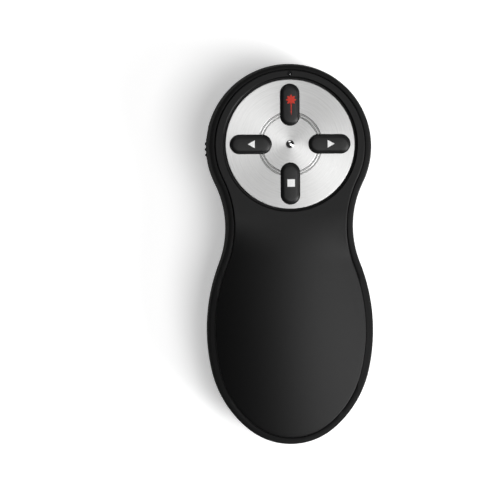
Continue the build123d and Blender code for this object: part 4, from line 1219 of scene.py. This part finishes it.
    def build(self, rod: "LightRod") -> None:
        """Make the cover, add the screw bosses, cut its holes and dress it.

        Args:
            rod: the light rod that passes through the cover.
        """
        rings = np.concatenate([self.inside(), self.outside()])
        cover = mesh_object("upper_cover", *capped(rings), sharp=self.sharp)
        carve(cover, self.bosses(), Cut.ADD, self.sharp)
        carve(cover, self.hole_tools(rod), Cut.REMOVE, self.sharp)
        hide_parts("top_cover")
        place_piece(cover, self.body, SOFT_BLACK)


@dataclass(frozen=True)
class LightRod:
    """The clear rod that leads from the lamp on the board to its small window at the head's edge.

    shares are the radii of its rings over its own, from the lower rim to the middle of the window.
    """

    cover: UpperCover
    radius: float = 0.6
    clearance: float = 0.05
    lamp_gap: float = 0.2
    recess_gap: float = 0.1
    dome: float = 0.2
    sink: float = 0.25
    shares: tuple[float, ...] = (1.0, 1.0, 0.9, 0.75, 0.5, 0.25, 0.05)
    around_steps: int = 40
    body: str = "housing"

    def path(self) -> tuple[Array, Array]:
        """The rod's axis.

        Returns:
            Its lower end over the lamp and its upper end outside the disc's recess.
        """
        cover = self.cover
        lamp_low, lamp_high = node_box("status_led")
        reach = cover.recess_radius + cover.chamfer + self.radius + self.recess_gap
        low = np.array([0.0, (lamp_low[1] + lamp_high[1]) / 2, lamp_high[2] + self.lamp_gap])
        return low, np.array([0.0, cover.centre[1] + reach, cover.top_z])

    def shape(self, name: str, grown: float, top: float, dome: float = 0.0) -> bpy.types.Object:
        """The rod from its lower end to a level: rings slide along its axis until they meet the level.

        Args:
            name: name of the piece.
            grown: added to the radius.
            top: level of the upper rim.
            dome: height of the middle over the rim, by a parabola.

        Returns:
            The closed rod.
        """
        low, high = self.path()
        axis = (high - low) / np.linalg.norm(high - low)
        angle = np.linspace(0, 2 * np.pi, self.around_steps, endpoint=False)[:, None]
        right = np.array([1.0, 0.0, 0.0])
        circle = np.cos(angle) * right + np.sin(angle) * np.cross(axis, right)
        share = np.array(self.shares)[:, None, None]
        level = np.concatenate([[low[2]], top + dome * (1 - share[1:, 0, 0]**2)])
        rings = low + circle * (self.radius + grown) * share
        rings[1:] += axis * ((level[1:, None, None] - rings[1:, :, 2:]) / axis[2])
        return mesh_object(name, *capped(rings))

    def build(self) -> None:
        """Make the rod with its domed window, set a little below the cover."""
        rod = self.shape("light_rod", 0.0, self.cover.top_z - self.sink, self.dome)
        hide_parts("led_light_pipe")
        place_piece(rod, self.body, SMOKE)


# ---------------------------------------------------------------- control disc and stud
@dataclass(frozen=True)
class ControlDisc:
    """The spun metal disc with its turned ring groove, key slots and domed stud."""

    groove_radii: tuple[float, float] = (8.1, 8.9)
    groove_width: float = 0.50
    groove_depth: float = 0.36
    groove_hold: float = 0.1
    lip_round: float = 0.05
    bottom_round: float = 0.08
    edge_round: float = 0.15
    foot_step: float = 0.05
    hub_radius: float = 0.9
    pole_radius: float = 0.3
    key_gap: float = 0.2
    corner_steps: int = 4
    around_steps: int = 360
    sharp: float = 25.0
    stud_pole: float = 0.1
    stud_pole_angle: float = 0.02
    stud_arc_steps: int = 16
    stud_around_steps: int = 64
    body: str = "housing"

    def profile(self, low: float, high: float, radius: float) -> Array:
        """The disc's half section: underside, rounded rim and two grooves with sloping walls.

        A point close to each edge keeps the flats' shading level.

        Args:
            low: level of the underside.
            high: level of the upper side.
            radius: radius of the disc.

        Returns:
            Rows of radius and height.
        """
        points = [(self.pole_radius, low), (radius - self.foot_step, low), (radius, high),
                  (radius - 2 * self.edge_round, high)]
        radii = [0.0, self.edge_round, 0.0]
        half = self.groove_width / 2
        hold = half + self.groove_hold
        for middle in sorted(self.groove_radii, reverse=True):
            points += [(middle + hold, high), (middle + half, high), (middle, high - self.groove_depth),
                       (middle - half, high), (middle - hold, high)]
            radii += [0.0, self.lip_round, self.bottom_round, self.lip_round, 0.0]
        points += [(self.hub_radius, high), (self.pole_radius, high)]
        radii += [0.0]
        return rounded_profile(points, radii, self.corner_steps)

    def build(self) -> None:
        """Make the disc with its key slots, and the stud."""
        low, high = DISC_LOW, DISC_HIGH
        profile = self.profile(low[2], high[2], (high[0] - low[0]) / 2)
        disc = lathe("spun_disc", profile, DISC_CENTRE, self.around_steps)
        slots = key_cutters("slot", self.key_gap, (low[2] - TOOL_REACH, high[2] + TOOL_REACH))
        carve(disc, slots, Cut.REMOVE, self.sharp)
        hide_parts("control_disc")
        place_piece(disc, self.body, SPUN_METAL)
        self.build_stud(high[2])

    def build_stud(self, top: float) -> None:
        """The domed stud: a circular arc over its head and a thin stem below.

        Args:
            top: level of the disc's upper side, where the head starts.
        """
        low, high = node_box("centre_stud")
        radius = (high[0] - low[0]) / 2
        rise = high[2] - top
        ball = (radius**2 + rise**2) / (2 * rise)
        turn = np.linspace(math.asin(radius / ball), self.stud_pole_angle, self.stud_arc_steps)
        dome = np.stack([ball * np.sin(turn), high[2] - ball + ball * np.cos(turn)], axis=-1)
        thin = radius * STEM_SHARE
        stem = np.array([(self.stud_pole, low[2]), (thin, low[2]), (thin, top), (radius, top)])
        stud = lathe("domed_stud", np.concatenate([stem, dome]), DISC_CENTRE, self.stud_around_steps)
        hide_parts("centre_stud")
        place_piece(stud, self.body, BRIGHT_METAL)


# ---------------------------------------------------------------- pieces whose shape the construction gives
@dataclass(frozen=True)
class CopiedPiece:
    """A construction node that shows: a merged copy of it, its sharp edges rounded by a width."""

    node: str
    name: str
    body: str
    finish: Finish
    slot: str
    width: float = 0.0

    def build(self) -> None:
        """Make the copy, round its edges where it has a width for them, and dress it."""
        piece = merged_copy(self.node, self.name)
        if self.width > 0:
            soften(piece, self.width)
        place_piece(piece, self.body, self.finish)


@dataclass(frozen=True)
class KeptNodes:
    """Construction nodes that stay as they are and share a finish."""

    finish: Finish
    nodes: tuple[str, ...]

    def build(self) -> None:
        """Give each node the finish and report it."""
        material = self.finish.build()
        for name in self.nodes:
            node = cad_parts[name]
            if not node.material_slots:
                node.data.materials.append(material)
            for material_slot in node.material_slots:
                material_slot.material = material
            LOG.info("%s: kept, finish %s", name, self.finish.name)


COPIED = (
    CopiedPiece("lower_case", "lower_casing", "housing", CASE_BLACK, "case_plastic"),
    CopiedPiece("battery_door", "sliding_battery_door", "door", CASE_BLACK, "case_plastic"),
    CopiedPiece("power_slider", "ribbed_power_slider", "power_switch", CASE_BLACK, "slider_plastic"),
    CopiedPiece("receiver_cap", "receiver_end_cap", "receiver", CAP_BLACK, "cap_plastic", 0.12),
    CopiedPiece("receiver_shell", "receiver_plug_shell", "receiver", PLUG_STEEL, "plug_steel", 0.06),
    CopiedPiece("case_screws", "casing_screws", "housing", STEEL, "screw_steel"),
)

KEPT = (
    KeptNodes(FILM, ("disc_adhesive",)),
    KeptNodes(PLUNGER, tuple(f"{key.name}_plunger" for key in KEYS)),
    KeptNodes(SWITCH, ("tact_switch_bodies", "slide_switch_lever", "laser_clip")),
    KeptNodes(BOARD_GREEN, ("main_pcb", "laser_driver_board")),
    KeptNodes(BOARD_RED, ("receiver_board",)),
    KeptNodes(RESIN, ("rf_chip", "chip_passives")),
    KeptNodes(NICKEL, ("crystal_can", "slide_switch_body", "laser_diode_can", "bridge_contact",
                       "bridge_spring", "positive_contact", "negative_contact", "negative_spring")),
    KeptNodes(GOLD, ("antenna_trace", "laser_pins", "receiver_contacts")),
    KeptNodes(BRASS, ("laser_barrel",)),
    KeptNodes(STEEL, ("pcb_screws",)),
    KeptNodes(LAMP_WHITE, ("status_led",)),
    KeptNodes(LENS, ("laser_lens",)),
    KeptNodes(SMOKE, ("laser_window",)),
    KeptNodes(CELL_WRAP, ("cell_left", "cell_right")),
    KeptNodes(MILK_WHITE, ("receiver_tongue",)),
)


# ---------------------------------------------------------------- studio
@dataclass(frozen=True)
class Softbox:
    """An oblong area lamp on a dome round the clicker, facing it.

    tilt is measured from straight above, azimuth from +X towards +Y, both in degrees; distance and
    size are in metres.
    """

    name: str
    tilt: float
    azimuth: float
    distance: float
    size: tuple[float, float]
    radiance: float

    def build(self) -> None:
        """Make the lamp; its power is radiance times pi times its area."""
        data = bpy.data.lights.new(self.name, "AREA")
        data.shape = "RECTANGLE"
        data.size, data.size_y = self.size
        data.energy = self.radiance * math.pi * self.size[0] * self.size[1]
        lamp = bpy.data.objects.new(self.name, data)
        bpy.context.scene.collection.objects.link(lamp)
        tilt, azimuth = math.radians(self.tilt), math.radians(self.azimuth)
        flat = math.sin(tilt)
        outward = Vector((flat * math.cos(azimuth), flat * math.sin(azimuth), math.cos(tilt)))
        turn = outward.to_track_quat("Z", "Y").to_matrix().to_4x4()
        lamp.matrix_world = Matrix.Translation(outward * self.distance) @ turn


LAMPS = (
    Softbox("high_right_softbox", 25.0, -25.0, 1.4, (0.75, 0.80), 6.4),
    Softbox("overhead_softbox", 4.0, 170.0, 1.6, (0.50, 0.90), 1.1),
    Softbox("low_right_softbox", 68.0, -20.0, 1.4, (0.5, 0.9), 5.2),
    Softbox("right_strip", 78.0, -34.0, 1.2, (0.3, 1.0), 15.0),
    Softbox("far_fill", 60.0, 100.0, 1.5, (1.0, 0.6), 1.8),
)


@dataclass(frozen=True)
class Studio:
    """Pale floor, soft lamps and the camera, in metres.

    The floor lies floor_drop under the clicker. table_scale is in pixels of the image for a
    millimetre of the table, and mid_level is the height of the clicker's widest outline.
    """

    lamps: tuple[Softbox, ...] = LAMPS
    floor_size: float = 8.0
    floor_colour: float = 0.90
    floor_rough: float = 0.9
    floor_lift: float = 0.40
    floor_drop: float = 0.02 * MM
    world_level: float = 0.03
    distance: float = 0.95
    table_scale: float = 3.47
    mid_level: float = 0.009
    origin_pixel: tuple[float, float] = (289.1, 253.9)
    lean_degrees: float = 1.7
    nod_degrees: float = 0.5
    roll_degrees: float = 0.45
    sensor: float = 36.0
    clip: tuple[float, float] = (0.01, 50.0)

    def build(self) -> None:
        """Make the floor, the world, the lamps and the camera."""
        self.build_floor()
        self.build_world()
        for lamp in self.lamps:
            lamp.build()
        self.build_camera()

    def build_floor(self) -> None:
        """One pale sheet under the clicker that keeps its soft shadow."""
        half, level = self.floor_size / 2, -self.floor_drop
        mesh = bpy.data.meshes.new("floor")
        corners = [(-half, -half, level), (half, -half, level), (half, half, level), (-half, half, level)]
        mesh.from_pydata(corners, [], [(0, 1, 2, 3)])
        floor = bpy.data.objects.new("floor", mesh)
        bpy.context.scene.collection.objects.link(floor)
        mesh.materials.append(self.paper())

    def paper(self) -> bpy.types.Material:
        """The floor's pale paper, lifted towards white where the camera, gloss or glass sees it.

        Returns:
            The material.
        """
        material = bpy.data.materials.new("floor_paper")
        material.use_nodes = True
        wiring = Wiring(material.node_tree)
        path = wiring.add("LightPath", {})
        camera, gloss = path["Is Camera Ray"], path["Is Glossy Ray"]
        seen = wiring.add("Math", {0: camera, 1: gloss}, operation="MAXIMUM")[0]
        both = wiring.add("Math", {0: seen, 1: path["Is Transmission Ray"]}, operation="MAXIMUM")[0]
        lift = wiring.add("Math", {0: both, 1: self.floor_lift}, operation="MULTIPLY")[0]
        wiring.feed(wiring.shader, {
            "Base Color": (*[self.floor_colour] * 3, 1.0),
            "Roughness": self.floor_rough,
            "Specular IOR Level": 0.0,
            "Emission Color": (1.0, 1.0, 1.0, 1.0),
            "Emission Strength": lift,
        })
        return material

    def build_world(self) -> None:
        """Even, low room light."""
        world = bpy.data.worlds.new("room")
        world.use_nodes = True
        background = world.node_tree.nodes["Background"]
        background.inputs["Color"].default_value = (1.0, 1.0, 1.0, 1.0)
        background.inputs["Strength"].default_value = self.world_level
        bpy.context.scene.world = world

    def build_camera(self) -> None:
        """A long lens nearly straight above, leaning from the left, that puts the origin on its pixel.

        The lens is the table's scale times the distance; the aim is the body's middle moved by the
        pixels between it and the image's middle.
        """
        angles = (self.lean_degrees, self.nod_degrees, self.roll_degrees)
        lean, nod, roll = (math.radians(degrees) for degrees in angles)
        back = Vector((-math.tan(lean), math.tan(nod), 1.0)).normalized()
        side = Vector((0.0, 1.0, 0.0)).cross(back).normalized()
        side = Matrix.Rotation(-roll, 3, back) @ side
        upward = back.cross(side)
        scale = self.table_scale * self.distance / (self.distance - self.mid_level) / MM
        middle = IMAGE_SIZE / 2
        across = (self.origin_pixel[0] - middle) / scale
        down = (self.origin_pixel[1] - middle) / scale
        aim = Vector((0.0, 0.0, self.mid_level)) - side * across + upward * down
        place = aim + back * (self.distance - self.mid_level)
        data = bpy.data.cameras.new("camera")
        data.sensor_width = self.sensor
        data.lens = self.table_scale / MM * self.distance * self.sensor / IMAGE_SIZE
        data.clip_start, data.clip_end = self.clip
        camera = bpy.data.objects.new("camera", data)
        bpy.context.scene.collection.objects.link(camera)
        axes = Matrix((side, upward, back)).transposed()
        camera.matrix_world = Matrix.Translation(place) @ axes.to_4x4()
        bpy.context.scene.camera = camera


def main() -> None:
    """Build every sub-assembly and the studio."""
    logging.basicConfig(level=logging.INFO, format="%(name)s: %(message)s")
    cover = UpperCover(Outline(), Section())
    rod = LightRod(cover)
    cover.build(rod)
    for part in (rod, ControlDisc(), *KEYS, *COPIED, *KEPT, Studio()):
        part.build()
    bpy.context.scene.view_settings.view_transform = "Standard"


if __name__ == "__main__":
    main()
